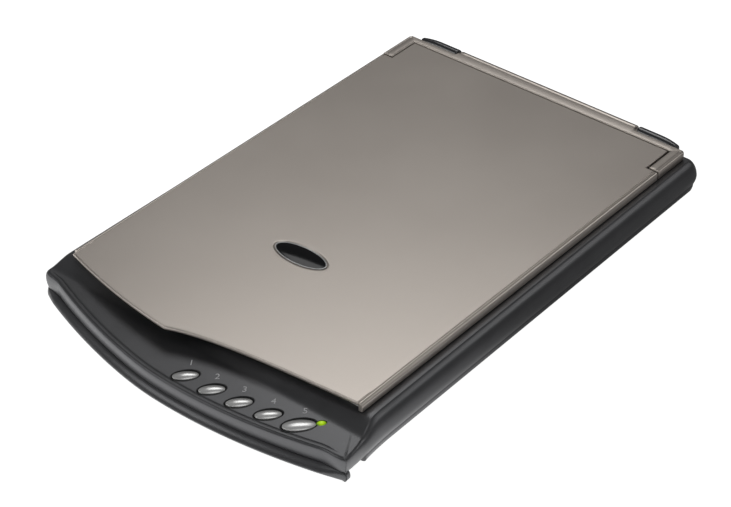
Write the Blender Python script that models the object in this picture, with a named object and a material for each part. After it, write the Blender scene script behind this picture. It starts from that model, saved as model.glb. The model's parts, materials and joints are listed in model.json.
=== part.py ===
"""Flatbed scanner: every piece as its own closed solid. Sizes below are millimetres; Blender gets metres."""

import math

import bmesh
import bpy
import numpy as np
from mathutils import Matrix

MM = 0.001
GAP = 0.3

# Body, seen from above
HALF_WIDTH_REAR = 125.5
HALF_WIDTH_GROWTH = 2.5
CORNER_FLARE = 2.6
FRONT_APEX_Y = -195.5
FRONT_APEX_X = 8.0
FRONT_ARC_SPAN = 840.0
LEFT_FALL = 0.08
LEFT_FALL_START = -14.0
LEFT_FALL_EASE = 15.0
LEFT_CORNER_REACH = 6.0
REAR_Y = 195.5
REAR_CORNER_RADIUS = 9.0
FLARE_START_Y = -132.0
WALL = 2.0

# Heights
FOOT_HEIGHT = 1.5
FLOOR_BOTTOM = 1.8
FLOOR_TOP = 3.8
SEAM_LOW = 8.0
SEAM_HIGH = 8.4
DECK_FRONT_Z = 17.9
PLATEN_Z = 25.4
LIP_UNDER_Z = 24.4
LID_UNDER_Z = 26.0
LID_TOP_Z = 32.0

# Glass window, for an A4 sheet
WINDOW_HALF_X = 108.0
WINDOW_Y0 = -140.5
WINDOW_Y1 = 156.5
GLASS_HALF_X = 113.0
GLASS_Z0 = 20.6
GLASS_Z1 = 23.4

# Lid
LID_HALF_X = 116.25
TONGUE_HALF_X = 106.8
NOTCH_Y = 154.4
TONGUE_Y = 179.8
LID_FRONT = (
    (-116.2, -148.2), (-113.6, -150.3), (-97.1, -155.3), (-75.8, -160.0), (-55.8, -163.0),
    (-36.9, -165.4), (-19.6, -166.9), (-17.4, -166.4), (-3.3, -161.8), (13.5, -158.1),
    (31.0, -155.4), (48.4, -153.0), (65.7, -151.0), (79.8, -149.7), (93.8, -148.6),
    (113.8, -147.2), (116.2, -145.6),
)

# Hinge: rear axis in the body's knuckles, front axis at the bracket's arms
AXIS_Y = 191.5
AXIS_Z = 28.0
BARREL_RADIUS = 4.0
BARREL_HALF_X = 75.0
KNUCKLE_X0 = 75.8
KNUCKLE_X1 = 110.5
PIN_RADIUS = 1.4
BRACKET_Y0 = 181.1
BRACKET_Y1 = 187.0
ARM_Y0 = 155.7
ARM_X0 = 108.0
ARM_PIVOT_Y = 160.5
ARM_PIVOT_Z = 28.3

# Scanning drive
CARRIAGE_Y0 = -146.0
CARRIAGE_Y1 = -122.0
ROD_X = -20.0
ROD_Z = 7.6
ROD_RADIUS = 1.6
DRIVE_X = 20.0
DRIVE_Y = -160.0
IDLER_Y = 172.0
PULLEY_RADIUS = 5.0
MODULE = 0.6
GEAR_TEETH = 36
PINION_TEETH = 12
GEAR_BACKLASH = 0.12

# Controls: (x, y, half length, half width) of each oval button
BUTTONS = (
    (9.8, -180.2, 7.9, 3.8),
    (30.3, -179.7, 7.9, 3.8),
    (50.4, -178.2, 7.9, 3.8),
    (70.6, -175.6, 7.9, 3.8),
    (90.4, -171.6, 9.8, 4.7),
)
BUTTON_TURN = math.radians(46.0)
LED_AT = (99.6, -162.6)


def smooth(low, high, value):
    """Smooth step from 0 at low to 1 at high."""
    t = min(max((value - low) / (high - low), 0.0), 1.0)
    return t * t * (3.0 - 2.0 * t)


def material(name, colour, roughness, metallic=0.0, alpha=1.0):
    """One Principled material per piece kind."""
    found = bpy.data.materials.get(name)
    if found:
        return found
    made = bpy.data.materials.new(name)
    made.use_nodes = True
    shader = made.node_tree.nodes["Principled BSDF"]
    shader.inputs["Base Color"].default_value = (*colour, 1.0)
    shader.inputs["Roughness"].default_value = roughness
    shader.inputs["Metallic"].default_value = metallic
    shader.inputs["Alpha"].default_value = alpha
    return made


def finish(name, mesh_bm, mat, origin=(0.0, 0.0, 0.0), angle=35.0):
    """Turn a bmesh in millimetres into a named object whose origin is given in millimetres."""
    bmesh.ops.recalc_face_normals(mesh_bm, faces=mesh_bm.faces)
    shift = Matrix.Translation([-c for c in origin])
    bmesh.ops.transform(mesh_bm, matrix=Matrix.Scale(MM, 4) @ shift, verts=mesh_bm.verts)
    mesh = bpy.data.meshes.new(name)
    mesh_bm.to_mesh(mesh)
    mesh_bm.free()
    obj = bpy.data.objects.new(name, mesh)
    bpy.context.collection.objects.link(obj)
    obj.location = [c * MM for c in origin]
    mesh.materials.append(mat)
    if angle:
        mesh.shade_smooth()
        mesh.set_sharp_from_angle(angle=math.radians(angle))
    return obj


def loft(rings, closed=False, last_cap=True, method="BEAUTY"):
    """Join equal rings of points into one skin, capped at both ends unless the rings form a loop."""
    made = bmesh.new()
    rows = [[made.verts.new(point) for point in ring] for ring in rings]
    count = len(rows[0])
    pairs = list(zip(rows, rows[1:]))
    if closed:
        pairs.append((rows[-1], rows[0]))
    for low, high in pairs:
        for i in range(count):
            j = (i + 1) % count
            made.faces.new((low[i], low[j], high[j], high[i]))
    if not closed:
        made.faces.new(rows[0])
        if last_cap:
            made.faces.new(rows[-1])
    made.normal_update()
    bmesh.ops.triangulate(made, faces=[f for f in made.faces if len(f.verts) > 4], ngon_method=method)
    return made


def box_bm(low, high):
    """Plain box between two corners."""
    (x0, y0, z0), (x1, y1, z1) = low, high
    foot = [(x0, y0), (x1, y0), (x1, y1), (x0, y1)]
    return loft([[(x, y, z) for x, y in foot] for z in (z0, z1)])


def box(name, low, high, mat, bevel=0.0, origin=(0.0, 0.0, 0.0)):
    """Box with its edges broken by a small bevel."""
    made = box_bm(low, high)
    if bevel:
        bmesh.ops.bevel(made, geom=list(made.edges), offset=bevel, segments=2, affect="EDGES", profile=0.5)
    return finish(name, made, mat, origin)


def circle(cx, cy, radius, z, count=32, squash=1.0, turn=0.0):
    """Ring of points on a circle or, with squash, an ellipse turned about Z."""
    points = []
    for i in range(count):
        a = 2.0 * math.pi * i / count
        u, v = radius * math.cos(a), radius * squash * math.sin(a)
        points.append((cx + u * math.cos(turn) - v * math.sin(turn), cy + u * math.sin(turn) + v * math.cos(turn), z))
    return points


def turned(cx, cy, profile, count=32, bore=False):
    """Round body about Z from (radius, z) pairs; with bore the profile is a closed loop."""
    return loft([circle(cx, cy, r, z, count) for r, z in profile], closed=bore)


def prism(points, z0, z1):
    """Flat polygon in plan, raised from z0 to z1."""
    return loft([[(x, y, z) for x, y in points] for z in (z0, z1)], method="EAR_CLIP")


def section_along_y(points, y0, y1):
    """Polygon in the XZ plane, run from y0 to y1."""
    return loft([[(x, y, z) for x, z in points] for y in (y0, y1)], method="EAR_CLIP")


def tidy_faces(mesh):
    """Weld coincident points and split many-sided faces; says whether the skin is closed."""
    made = bmesh.new()
    made.from_mesh(mesh)
    bmesh.ops.remove_doubles(made, verts=made.verts, dist=0.00001)
    bmesh.ops.dissolve_degenerate(made, edges=made.edges, dist=0.000002)
    made.normal_update()
    bmesh.ops.triangulate(made, faces=[f for f in made.faces if len(f.verts) > 4])
    closed = len(made.faces) > 0 and all(edge.is_manifold for edge in made.edges)
    made.to_mesh(mesh)
    made.free()
    return closed


def combine(target, tool_bm, operation="DIFFERENCE"):
    """Cut or join a tool with an object for good; the second solver serves only where the first fails."""
    tool = finish("tool", tool_bm, target.data.materials[0], angle=0.0)
    step = target.modifiers.new("cut", "BOOLEAN")
    step.operation = operation
    step.object = tool
    for solver in ("EXACT", "MANIFOLD"):
        step.solver = solver
        bpy.context.view_layer.update()
        graph = bpy.context.evaluated_depsgraph_get()
        mesh = bpy.data.meshes.new_from_object(target.evaluated_get(graph))
        if tidy_faces(mesh):
            break
    target.modifiers.remove(step)
    target.data = mesh
    bpy.data.objects.remove(tool)
    return target


def body_half_width(y, side=1.0):
    """Widest half-width of the body at depth y: a slight growth to the front, and a flare at the right corner."""
    growth = HALF_WIDTH_GROWTH * min(max((190.0 - y) / 320.0, 0.0), 1.0)
    return HALF_WIDTH_REAR + growth + (side > 0.0) * CORNER_FLARE * smooth(FLARE_START_Y, -176.0, y)


def front_y(x):
    """Front edge of the widest outline: a shallow bow that falls away faster on the left."""
    left = LEFT_FALL_START - x
    fall = 0.5 * LEFT_FALL * (left + math.hypot(left, LEFT_FALL_EASE))
    return FRONT_APEX_Y + (x - FRONT_APEX_X) ** 2 / FRONT_ARC_SPAN + fall


def round_left_corner(outer):
    """Ease the outline's first corner: points nearer than a reach move onto a parabola between its two ends."""
    corner, reach = outer[0].copy(), LEFT_CORNER_REACH
    away = np.linalg.norm(outer - corner, axis=1)
    along = np.where(np.arange(len(outer)) < len(outer) // 2, away, -away)
    ahead = corner + (outer[1] - corner) / away[1] * reach
    back = corner + (outer[-1] - corner) / away[-1] * reach
    t = (0.5 + 0.5 * along / reach)[:, None]
    eased = back * (1.0 - t) ** 2 + 2.0 * corner * t * (1.0 - t) + ahead * t ** 2
    return np.where((away < reach)[:, None], eased, outer)


FRONT_STEPS = 22
SIDE_STEPS = 20
REAR_STEPS = 14


def side_depths(y0, y1):
    """Depths down one side, closer together near the flared front corner."""
    share = np.linspace(0.0, 1.0, SIDE_STEPS + 1) ** 1.6
    return y0 + (y1 - y0) * share


def body_outline():
    """Widest outline, anticlockwise from the front left corner, with the matching point of the glass window."""
    corner_x, left_x = body_half_width(-176.0), body_half_width(-176.0, -1.0)
    outer, window = [], []
    for t in np.concatenate(([-1.0, -0.978, -0.955], np.linspace(-1.0, 1.0, FRONT_STEPS + 1)[1:-1])):
        x = t * (corner_x if t > 0.0 else left_x)
        outer.append((x, front_y(x)))
        window.append((WINDOW_HALF_X * t, WINDOW_Y0))
    right = []
    y_top = REAR_Y - REAR_CORNER_RADIUS
    for y in side_depths(front_y(corner_x), y_top)[:-1]:
        share = (y - front_y(corner_x)) / (y_top - front_y(corner_x))
        right.append((body_half_width(y), y, WINDOW_Y0 + (WINDOW_Y1 - WINDOW_Y0) * share))
    outer += [(x, y) for x, y, _ in right]
    window += [(WINDOW_HALF_X, wy) for _, _, wy in right]
    r, half = REAR_CORNER_RADIUS, HALF_WIDTH_REAR
    rear = []
    for a in np.radians((0.0, 30.0, 60.0, 90.0)):
        rear.append((half - r + r * math.cos(a), REAR_Y - r + r * math.sin(a)))
    inner_x = np.linspace(half - r, -(half - r), REAR_STEPS + 1)[1:-1]
    rear += [(x, REAR_Y) for x in inner_x]
    rear += [(-x, y) for x, y in reversed(rear[:4])]
    for i, (x, y) in enumerate(rear):
        outer.append((x, y))
        window.append((WINDOW_HALF_X * (1.0 - 2.0 * i / (len(rear) - 1)), WINDOW_Y1))
    left_y = front_y(-left_x)
    for y in side_depths(left_y, y_top)[1:-1][::-1]:
        share = (y - left_y) / (y_top - left_y)
        outer.append((-body_half_width(y, -1.0), y))
        window.append((-WINDOW_HALF_X, WINDOW_Y0 + (WINDOW_Y1 - WINDOW_Y0) * share))
    return round_left_corner(np.array(outer)), np.array(window)


def inset(points, amounts):
    """Move each corner of a closed anticlockwise outline inwards by its own amount, along the mitre."""
    before = points - np.roll(points, 1, axis=0)
    after = np.roll(points, -1, axis=0) - points
    before /= np.linalg.norm(before, axis=1)[:, None]
    after /= np.linalg.norm(after, axis=1)[:, None]
    n1 = np.stack((-before[:, 1], before[:, 0]), axis=1)
    n2 = np.stack((-after[:, 1], after[:, 0]), axis=1)
    middle = n1 + n2
    middle /= np.linalg.norm(middle, axis=1)[:, None]
    stretch = 1.0 / np.maximum((middle * n1).sum(axis=1), 0.5)
    return points + middle * (stretch * amounts)[:, None]


def deck_height(x, y):
    """Top surface of the body: flat beside the glass, scooped under the lid's front, then a gentle fall."""
    ahead = WINDOW_Y0 - 2.5 - y
    return PLATEN_Z - 4.6 * smooth(0.0, 17.0, ahead) - 2.9 * smooth(4.0, 62.0, ahead) * 1.15


# Wall profiles from the seam up to the crease, as (inset, height): plain side, front bow
SIDE_PROFILE = ((1.5, 8.4), (0.6, 10.5), (0.0, 14.0), (0.9, 18.5), (2.9, 22.4), (5.4, 24.7), (6.4, 25.4))
FRONT_PROFILE = ((5.2, 8.4), (3.9, 10.0), (3.3, 13.0), (3.3, 15.5), (3.8, 17.0), (4.9, 17.8), (6.3, 18.0))
CORNER_PROFILE = ((2.6, 8.4), (1.2, 10.0), (0.5, 13.0), (0.5, 15.5), (0.9, 17.0), (1.7, 17.8), (2.9, 18.1))


def wall_profile(outer):
    """Inset and height of each wall level at every outline point, blended around the front corners."""
    x, y = outer[:, 0], outer[:, 1]
    corner = np.array([smooth(-140.0, -172.0, v) for v in y])
    front = np.array([smooth(129.0, 112.0, abs(v)) for v in x]) * (y < -150.0)
    levels = []
    for side, bow, edge in zip(SIDE_PROFILE, FRONT_PROFILE, CORNER_PROFILE):
        mix = [side[k] * (1.0 - corner) + edge[k] * corner for k in (0, 1)]
        levels.append([mix[k] * (1.0 - front) + bow[k] * front for k in (0, 1)])
    return levels


def rear_extra(y):
    """Extra thickness under the top at the rear, where the hinge trough is cut."""
    return 4.0 * smooth(165.2, 168.5, y)


def ring_at(flat, heights):
    """Ring of 3-D points from plan points and heights."""
    return [(float(p[0]), float(p[1]), float(h)) for p, h in zip(flat, heights)]


def build_top_shell(mat):
    """Upper housing: wall, control deck, glass surround, button holes, hinge trough and socket notch."""
    outer, window = body_outline()
    levels = wall_profile(outer)
    rings = [ring_at(inset(outer, d), z) for d, z in levels]
    crease = inset(outer, levels[-1][0])
    crease_z = levels[-1][1]
    shares = (0.08, 0.2, 0.34, 0.48, 0.62, 0.76, 0.88, 1.0)
    for t in shares:
        flat = crease + (window - crease) * t
        level = np.array([deck_height(x, y) for x, y in flat])
        mix = smooth(0.0, 0.34, t)
        rings.append(ring_at(flat, crease_z * (1.0 - mix) + level * mix))
    centre = np.array([0.0, 0.5 * (WINDOW_Y0 + WINDOW_Y1)])
    pocket = np.stack((window[:, 0] * (WINDOW_HALF_X + 7.0) / WINDOW_HALF_X,
                       centre[1] + (window[:, 1] - centre[1]) * 156.0 / 148.5), axis=1)
    rings.append(ring_at(window, np.full(len(window), LIP_UNDER_Z)))
    rings.append(ring_at(pocket, np.full(len(window), LIP_UNDER_Z)))
    inner_crease = inset(outer, levels[-1][0] + 1.8)
    for t in (1.0, 0.9, 0.75, 0.6, 0.45, 0.3, 0.15, 0.0):
        flat = inner_crease + (pocket - inner_crease) * t
        level = np.array([deck_height(x, y) - WALL - rear_extra(y) for x, y in flat])
        own = crease_z - WALL - np.array([rear_extra(y) for _, y in flat])
        mix = smooth(0.0, 0.45, t)
        rings.append(ring_at(flat, own * (1.0 - mix) + level * mix))
    for d, z in reversed(levels[:-1]):
        extra = np.array([rear_extra(y) * 0.9 for _, y in outer])
        drop = np.where(z > 16.0, 1.6 * (z - 16.0) / 9.0 + extra * np.clip((z - 18.0) / 6.0, 0.0, 1.0), 0.0)
        rings.append(ring_at(inset(outer, d + WALL), z - drop))
    shell = finish("top_shell", loft(rings, closed=True), mat)
    trough = box_bm((-112.5, AXIS_Y - 5.4, 22.5), (112.5, 205.0, 40.0))
    combine(shell, trough)
    for x, y, a, b in BUTTONS:
        hole = [circle(x, y, a + 0.4, z, 28, (b + 0.4) / (a + 0.4), BUTTON_TURN) for z in (10.0, 24.0)]
        combine(shell, loft(hole))
    combine(shell, loft([circle(*LED_AT, 3.0, z, 20, 0.68, BUTTON_TURN) for z in (10.0, 24.0)]))
    combine(shell, box_bm((-101.6, 186.0, 7.0), (-88.4, 205.0, 18.4)))
    return shell


def build_bottom_shell(mat):
    """Lower tray with a bowed chin, screw holes and a floor."""
    outer, _ = body_outline()
    corner = np.array([smooth(-150.0, -174.0, v) for v in outer[:, 1]])
    front = np.array([smooth(129.0, 112.0, abs(v)) for v in outer[:, 0]]) * (outer[:, 1] < -150.0)

    def spread(side, edge, bow):
        return (side * (1.0 - corner) + edge * corner) * (1.0 - front) + bow * front

    flat = np.ones(len(outer))
    rings = [
        ring_at(inset(outer, spread(5.5, 3.4, 4.6)), flat * FLOOR_BOTTOM),
        ring_at(inset(outer, spread(3.2, 1.2, 1.0)), flat * 2.5),
        ring_at(inset(outer, spread(2.2, 0.6, 0.0)), flat * 4.2),
        ring_at(inset(outer, spread(1.7, 1.4, 2.6)), flat * 7.0),
        ring_at(inset(outer, spread(1.9, 2.4, 4.8)), flat * SEAM_LOW),
        ring_at(inset(outer, spread(3.9, 4.4, 7.0)), flat * SEAM_LOW),
        ring_at(inset(outer, spread(4.2, 4.4, 6.0)), flat * 5.5),
        ring_at(inset(outer, spread(6.5, 5.4, 6.0)), flat * FLOOR_TOP),
    ]
    shell = finish("bottom_shell", loft(rings), mat)
    for x, y in SCREWS:
        combine(shell, turned(x, y, ((2.7, 0.5), (2.7, 6.0)), 20))
    return shell


SCREWS = ((-112.0, -150.0), (112.0, -150.0), (-112.0, 160.0), (112.0, 160.0))
FEET = ((-98.0, -158.0), (100.0, -165.0), (-100.0, 172.0), (100.0, 172.0))


def build_case_parts(mats):
    """Feet, case screws, glass, tape and white reference strip."""
    for i, (x, y) in enumerate(FEET):
        profile = ((6.2, 0.0), (7.0, 0.4), (7.0, FOOT_HEIGHT))
        finish(f"foot_{i + 1}", turned(x, y, profile, 28), mats["rubber"])
    for i, (x, y) in enumerate(SCREWS):
        profile = ((2.3, 2.1), (2.4, 2.4), (2.4, 3.4), (1.3, 3.6), (1.3, 7.0))
        finish(f"case_screw_{i + 1}", turned(x, y, profile, 20), mats["steel"])
    box("platen_glass", (-GLASS_HALF_X, -145.3, GLASS_Z0), (GLASS_HALF_X, 161.3, GLASS_Z1), mats["glass"], 0.3)
    tape = []
    for grow, z in ((0.4, 23.95), (4.4, 23.95), (4.4, 24.15), (0.4, 24.15)):
        x, y0, y1 = WINDOW_HALF_X + grow, WINDOW_Y0 - grow, WINDOW_Y1 + grow
        tape.append([(-x, y0, z), (x, y0, z), (x, y1, z), (-x, y1, z)])
    finish("glass_tape", loft(tape, closed=True), mats["black_plastic"], angle=0.0)
    box("calibration_strip", (-108.0, -145.0, 23.5), (108.0, -140.8, 23.7), mats["white"])


def lid_outline():
    """Plan of the lid: bowed front with a kink, straight sides, and a rear tongue between the hinge arms."""
    x, t, c = LID_HALF_X, TONGUE_HALF_X, 1.7
    return np.array(list(LID_FRONT) + [
        (x, NOTCH_Y - c), (x - c, NOTCH_Y), (t, NOTCH_Y), (t, TONGUE_Y - c),
        (t - c, TONGUE_Y), (-t + c, TONGUE_Y), (-t, TONGUE_Y - c), (-t, NOTCH_Y),
        (-x + c, NOTCH_Y), (-x, NOTCH_Y - c),
    ])


def build_lid(mats):
    """Lid cover with its turned-down sides and bare front edge, inner plate, foam, white mat and oval badge."""
    outline = lid_outline()
    one = np.ones(len(outline))
    bare = np.zeros(len(outline))
    bare[1:len(LID_FRONT) - 1] = 1.0
    steps = ((0.3, LID_UNDER_Z, 30.0), (0.0, LID_UNDER_Z + 0.4, 30.1), (0.0, 30.2, 30.3), (0.5, 31.3, 31.5),
             (1.3, 31.85, 31.9), (2.4, LID_TOP_Z, LID_TOP_Z))
    rings = [ring_at(inset(outline, one * d), z * (1.0 - bare) + front * bare) for d, z, front in steps]
    inner = [ring_at(inset(outline, one * 2.0), one * 30.05),
             ring_at(inset(outline, one * 1.9), LID_UNDER_Z * (1.0 - bare) + 30.0 * bare)]
    made = loft(inner + rings, last_cap=False, method="EAR_CLIP")
    dish = [[made.verts.new(p) for p in circle(-3.6, -61.7, r, z, 28, s)]
            for r, z, s in ((24.0, LID_TOP_Z, 0.51), (20.8, 31.3, 0.46))]
    for i in range(28):
        made.faces.new((dish[0][i - 1], dish[0][i], dish[1][i], dish[1][i - 1]))
    made.faces.new(dish[1])
    rim = [e for e in made.edges if e.is_boundary]
    bmesh.ops.triangle_fill(made, edges=rim, use_beauty=True, use_dissolve=False)
    cover = finish("lid_cover", made, mats["champagne"])
    combine(cover, both_sides(103.0, 107.6, 1.35))
    step = inset(outline, one * 2.6 + 3.4 * bare)
    finish("lid_liner", prism([tuple(p) for p in step], 28.7, 29.6), mats["black_plastic"], angle=0.0)
    for name, shrink, z0, z1, mat in (("lid_foam", 3.0, 26.9, 28.4, "foam"), ("lid_mat", 2.7, 25.75, 26.6, "white")):
        x, t = 113.9 - shrink, 103.6 - shrink * 0.3
        shape = [(-x, -143.2), (x, -143.2), (x, 150.5), (t, 150.5), (t, 174.0), (-t, 174.0), (-t, 150.5), (-x, 150.5)]
        finish(name, prism(shape, z0, z1), mats[mat], angle=0.0)
    profile = ((19.6, 31.5, 0.42), (20.0, 31.6, 0.425), (20.0, 31.8, 0.425), (18.9, 32.0, 0.41),
               (14.0, 32.2, 0.40), (7.0, 32.3, 0.40))
    badge = [circle(-3.6, -61.7, r, z, 40, s) for r, z, s in profile]
    finish("badge", loft(badge), mats["gloss_black"])


def pin_bm(side, x0, x1, radius, count=20, y=ARM_PIVOT_Y, z=ARM_PIVOT_Z):
    """Short round pin along X on one side."""
    low, high = sorted((side * x0, side * x1))
    return x_rod(low, high, radius, count, y, z)


def both_sides(x0, x1, radius, count=20, y=ARM_PIVOT_Y, z=ARM_PIVOT_Z):
    """The same short round pin on both sides, as one tool."""
    made = pin_bm(1.0, x0, x1, radius, count, y, z)
    other = bpy.data.meshes.new("other side")
    pin_bm(-1.0, x0, x1, radius, count, y, z).to_mesh(other)
    made.from_mesh(other)
    return made


def x_rod(low, high, radius, count, y, z):
    """Round rod along X between two positions."""
    rings = []
    for x in (low, high):
        rings.append([(x, y + py, z + pz) for py, pz, _ in circle(0.0, 0.0, radius, 0.0, count)])
    return loft(rings)


def y_rod(low, high, radius, count, x, z):
    """Round rod along Y between two positions."""
    rings = []
    for y in (low, high):
        rings.append([(x + px, y, z + pz) for px, pz, _ in circle(0.0, 0.0, radius, 0.0, count)])
    return loft(rings)


def build_hinge(mats):
    """U-shaped bracket with its barrel, the body's two knuckles, and the steel pins of both axes."""
    x, a = LID_HALF_X, ARM_X0
    outline = np.array([
        (-x, ARM_Y0 + 1.0), (-x + 1.0, ARM_Y0), (-a - 1.0, ARM_Y0), (-a, ARM_Y0 + 1.0), (-a, BRACKET_Y0),
        (a, BRACKET_Y0), (a, ARM_Y0 + 1.0), (a + 1.0, ARM_Y0), (x - 1.0, ARM_Y0), (x, ARM_Y0 + 1.0),
        (x, BRACKET_Y1 - 2.0), (x - 0.6, BRACKET_Y1 - 0.6), (x - 2.0, BRACKET_Y1), (-x + 2.0, BRACKET_Y1),
        (-x + 0.6, BRACKET_Y1 - 0.6), (-x, BRACKET_Y1 - 2.0),
    ])
    one = np.ones(len(outline))
    steps = ((0.3, LID_UNDER_Z), (0.0, LID_UNDER_Z + 0.4), (0.0, 30.9), (0.35, 31.7), (1.0, LID_TOP_Z))
    rings = [ring_at(inset(outline, one * d), one * z) for d, z in steps]
    bracket = finish("hinge_bracket", loft(rings, method="EAR_CLIP"), mats["champagne"])
    r = BARREL_RADIUS
    arc = [(AXIS_Y + r * math.cos(t), AXIS_Z + r * math.sin(t)) for t in np.radians(np.arange(-100.0, 91.0, 19.0))]
    section = [(BRACKET_Y1 - 1.6, AXIS_Z - 1.4)] + arc + [(BRACKET_Y1 - 0.2, LID_TOP_Z - 0.25), (BRACKET_Y1 - 1.9, 31.0)]
    barrel = loft([[(sx, y, z) for y, z in section] for sx in (-BARREL_HALF_X, BARREL_HALF_X)])
    combine(bracket, barrel, "UNION")
    combine(bracket, both_sides(60.0, 80.0, PIN_RADIUS + 0.12, 24, AXIS_Y, AXIS_Z))
    combine(bracket, both_sides(100.0, 112.6, 1.3))
    for side, word in ((-1.0, "left"), (1.0, "right")):
        knuckle = knuckle_bm(side)
        piece = finish(f"hinge_knuckle_{word}", knuckle, mats["charcoal"])
        combine(piece, pin_bm(side, 70.0, 104.4, PIN_RADIUS + 0.12, 24, AXIS_Y, AXIS_Z))
        pin = pin_bm(side, 60.4, 104.0, PIN_RADIUS, 24, AXIS_Y, AXIS_Z)
        finish(f"hinge_pin_{word}", pin, mats["steel"], (side * 82.0, AXIS_Y, AXIS_Z))
        finish(f"arm_pin_{word}", pin_bm(side, 104.6, 112.3, 1.15), mats["steel"])


def knuckle_bm(side):
    """Dark hinge knuckle: round over the axis, standing on the housing, its outer end tapering in plan."""
    r = BARREL_RADIUS
    arc = [(r * math.cos(t), r * math.sin(t)) for t in np.radians(np.arange(0.0, 181.0, 20.0))]
    section = [(-r, 22.8 - AXIS_Z), (r, 22.8 - AXIS_Z)] + arc
    rings = []
    for x, k in ((KNUCKLE_X0, 1.0), (92.0, 1.0), (101.0, 0.94), (107.0, 0.8), (KNUCKLE_X1, 0.55)):
        rings.append([(side * x, AXIS_Y - r + (y + r) * k, AXIS_Z + z * (k if z > 0 else 1.0)) for y, z in section])
    return loft(rings)


def gear_ring(cx, cy, teeth, z, phase=0.0):
    """One ring of a straight spur gear with slightly thinned teeth."""
    pitch = 0.5 * MODULE * teeth
    root, tip = pitch - 1.2 * MODULE, pitch + 0.92 * MODULE
    points = []
    for i in range(teeth):
        base = 2.0 * math.pi * i / teeth + phase
        thick = 0.5 * math.pi * MODULE / pitch * 0.5 - GEAR_BACKLASH / pitch * 0.5
        for r, a in ((root, -1.45 * thick), (tip, -0.5 * thick), (tip, 0.5 * thick), (root, 1.45 * thick)):
            points.append((cx + r * math.cos(base + a), cy + r * math.sin(base + a), z))
    return points


def build_drive(mats):
    """Motor, pinion, gear with its belt pulley, idler, belt, guide rod and their supports."""
    gear_teeth, pitch = GEAR_TEETH, 0.5 * MODULE * GEAR_TEETH
    count = 4 * gear_teeth
    gear = [circle(DRIVE_X, DRIVE_Y, 1.3, 4.8, count), gear_ring(DRIVE_X, DRIVE_Y, gear_teeth, 4.8),
            gear_ring(DRIVE_X, DRIVE_Y, gear_teeth, 6.4)]
    gear += [circle(DRIVE_X, DRIVE_Y, r, z, count)
             for r, z in ((6.4, 6.4), (6.4, 6.8), (PULLEY_RADIUS, 6.8), (PULLEY_RADIUS, 10.4), (1.3, 10.4))]
    finish("drive_gear", loft(gear, closed=True), mats["white_plastic"], (DRIVE_X, DRIVE_Y, 0.0))
    finish("drive_axle", turned(DRIVE_X, DRIVE_Y, ((2.4, 4.1), (2.4, 4.5), (1.15, 4.5), (1.15, 11.0)), 20),
           mats["steel"])
    motor_x = DRIVE_X + pitch + 0.5 * MODULE * PINION_TEETH + 0.06
    half = math.pi / PINION_TEETH
    count = 4 * PINION_TEETH
    pinion = [gear_ring(motor_x, DRIVE_Y, PINION_TEETH, z, phase=math.pi + half) for z in (4.6, 6.6)]
    pinion += [circle(motor_x, DRIVE_Y, 1.0, z, count, turn=math.pi + half) for z in (6.6, 7.9)]
    finish("motor_pinion", loft(pinion), mats["brass"], (motor_x, DRIVE_Y, 0.0))
    section = [(27.4, 7.0), (45.4, 7.0), (45.4, 4.1), (46.4, 4.1), (46.4, 7.7), (27.4, 7.7)]
    bracket = finish("motor_bracket", section_along_y(section, -170.0, -150.0), mats["steel"], angle=0.0)
    combine(bracket, turned(motor_x, DRIVE_Y, ((1.6, 6.0), (1.6, 9.0)), 20))
    profile = ((7.4, 8.2), (8.0, 8.5), (8.0, 15.6), (7.4, 15.9), (2.6, 15.9), (2.6, 16.3))
    finish("motor", turned(motor_x, DRIVE_Y, profile, 36), mats["steel"])
    loop = ((1.3, 6.4), (6.0, 6.4), (6.0, 6.8), (PULLEY_RADIUS, 6.8), (PULLEY_RADIUS, 10.2), (6.0, 10.2),
            (6.0, 10.6), (1.3, 10.6))
    finish("idler_pulley", turned(DRIVE_X, IDLER_Y, loop, 36, bore=True), mats["white_plastic"],
           (DRIVE_X, IDLER_Y, 0.0))
    idler = box("idler_bracket", (12.0, 164.0, 4.1), (28.0, 181.0, 6.1), mats["black_plastic"])
    combine(idler, turned(DRIVE_X, IDLER_Y, ((1.15, 5.0), (1.15, 11.4)), 20), "UNION")
    belt = []
    for r, z in ((PULLEY_RADIUS + 0.1, 7.1), (PULLEY_RADIUS + 0.9, 7.1), (PULLEY_RADIUS + 0.9, 9.9),
                 (PULLEY_RADIUS + 0.1, 9.9)):
        ring = []
        for a in np.radians(np.linspace(180.0, 360.0, 15)):
            ring.append((DRIVE_X + r * math.cos(a), DRIVE_Y + r * math.sin(a), z))
        for a in np.radians(np.linspace(0.0, 180.0, 15)):
            ring.append((DRIVE_X + r * math.cos(a), IDLER_Y + r * math.sin(a), z))
        belt.append(ring)
    finish("timing_belt", loft(belt, closed=True), mats["rubber"])
    finish("guide_rod", y_rod(-152.0, 180.0, ROD_RADIUS, 24, ROD_X, ROD_Z), mats["steel"])
    for name, y0, y1 in (("rod_clip_front", -151.5, -147.5), ("rod_clip_rear", 174.5, 179.5)):
        clip = box(name, (ROD_X - 4.5, y0, 4.1), (ROD_X + 4.5, y1, 10.4), mats["black_plastic"])
        combine(clip, y_rod(y0 - 2.0, y1 + 2.0, ROD_RADIUS + 0.15, 24, ROD_X, ROD_Z))
    finish("tension_spring", coil_bm(DRIVE_X, 181.4, 187.6, 8.0, 1.9, 0.32, 5), mats["steel"], angle=60.0)


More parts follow.
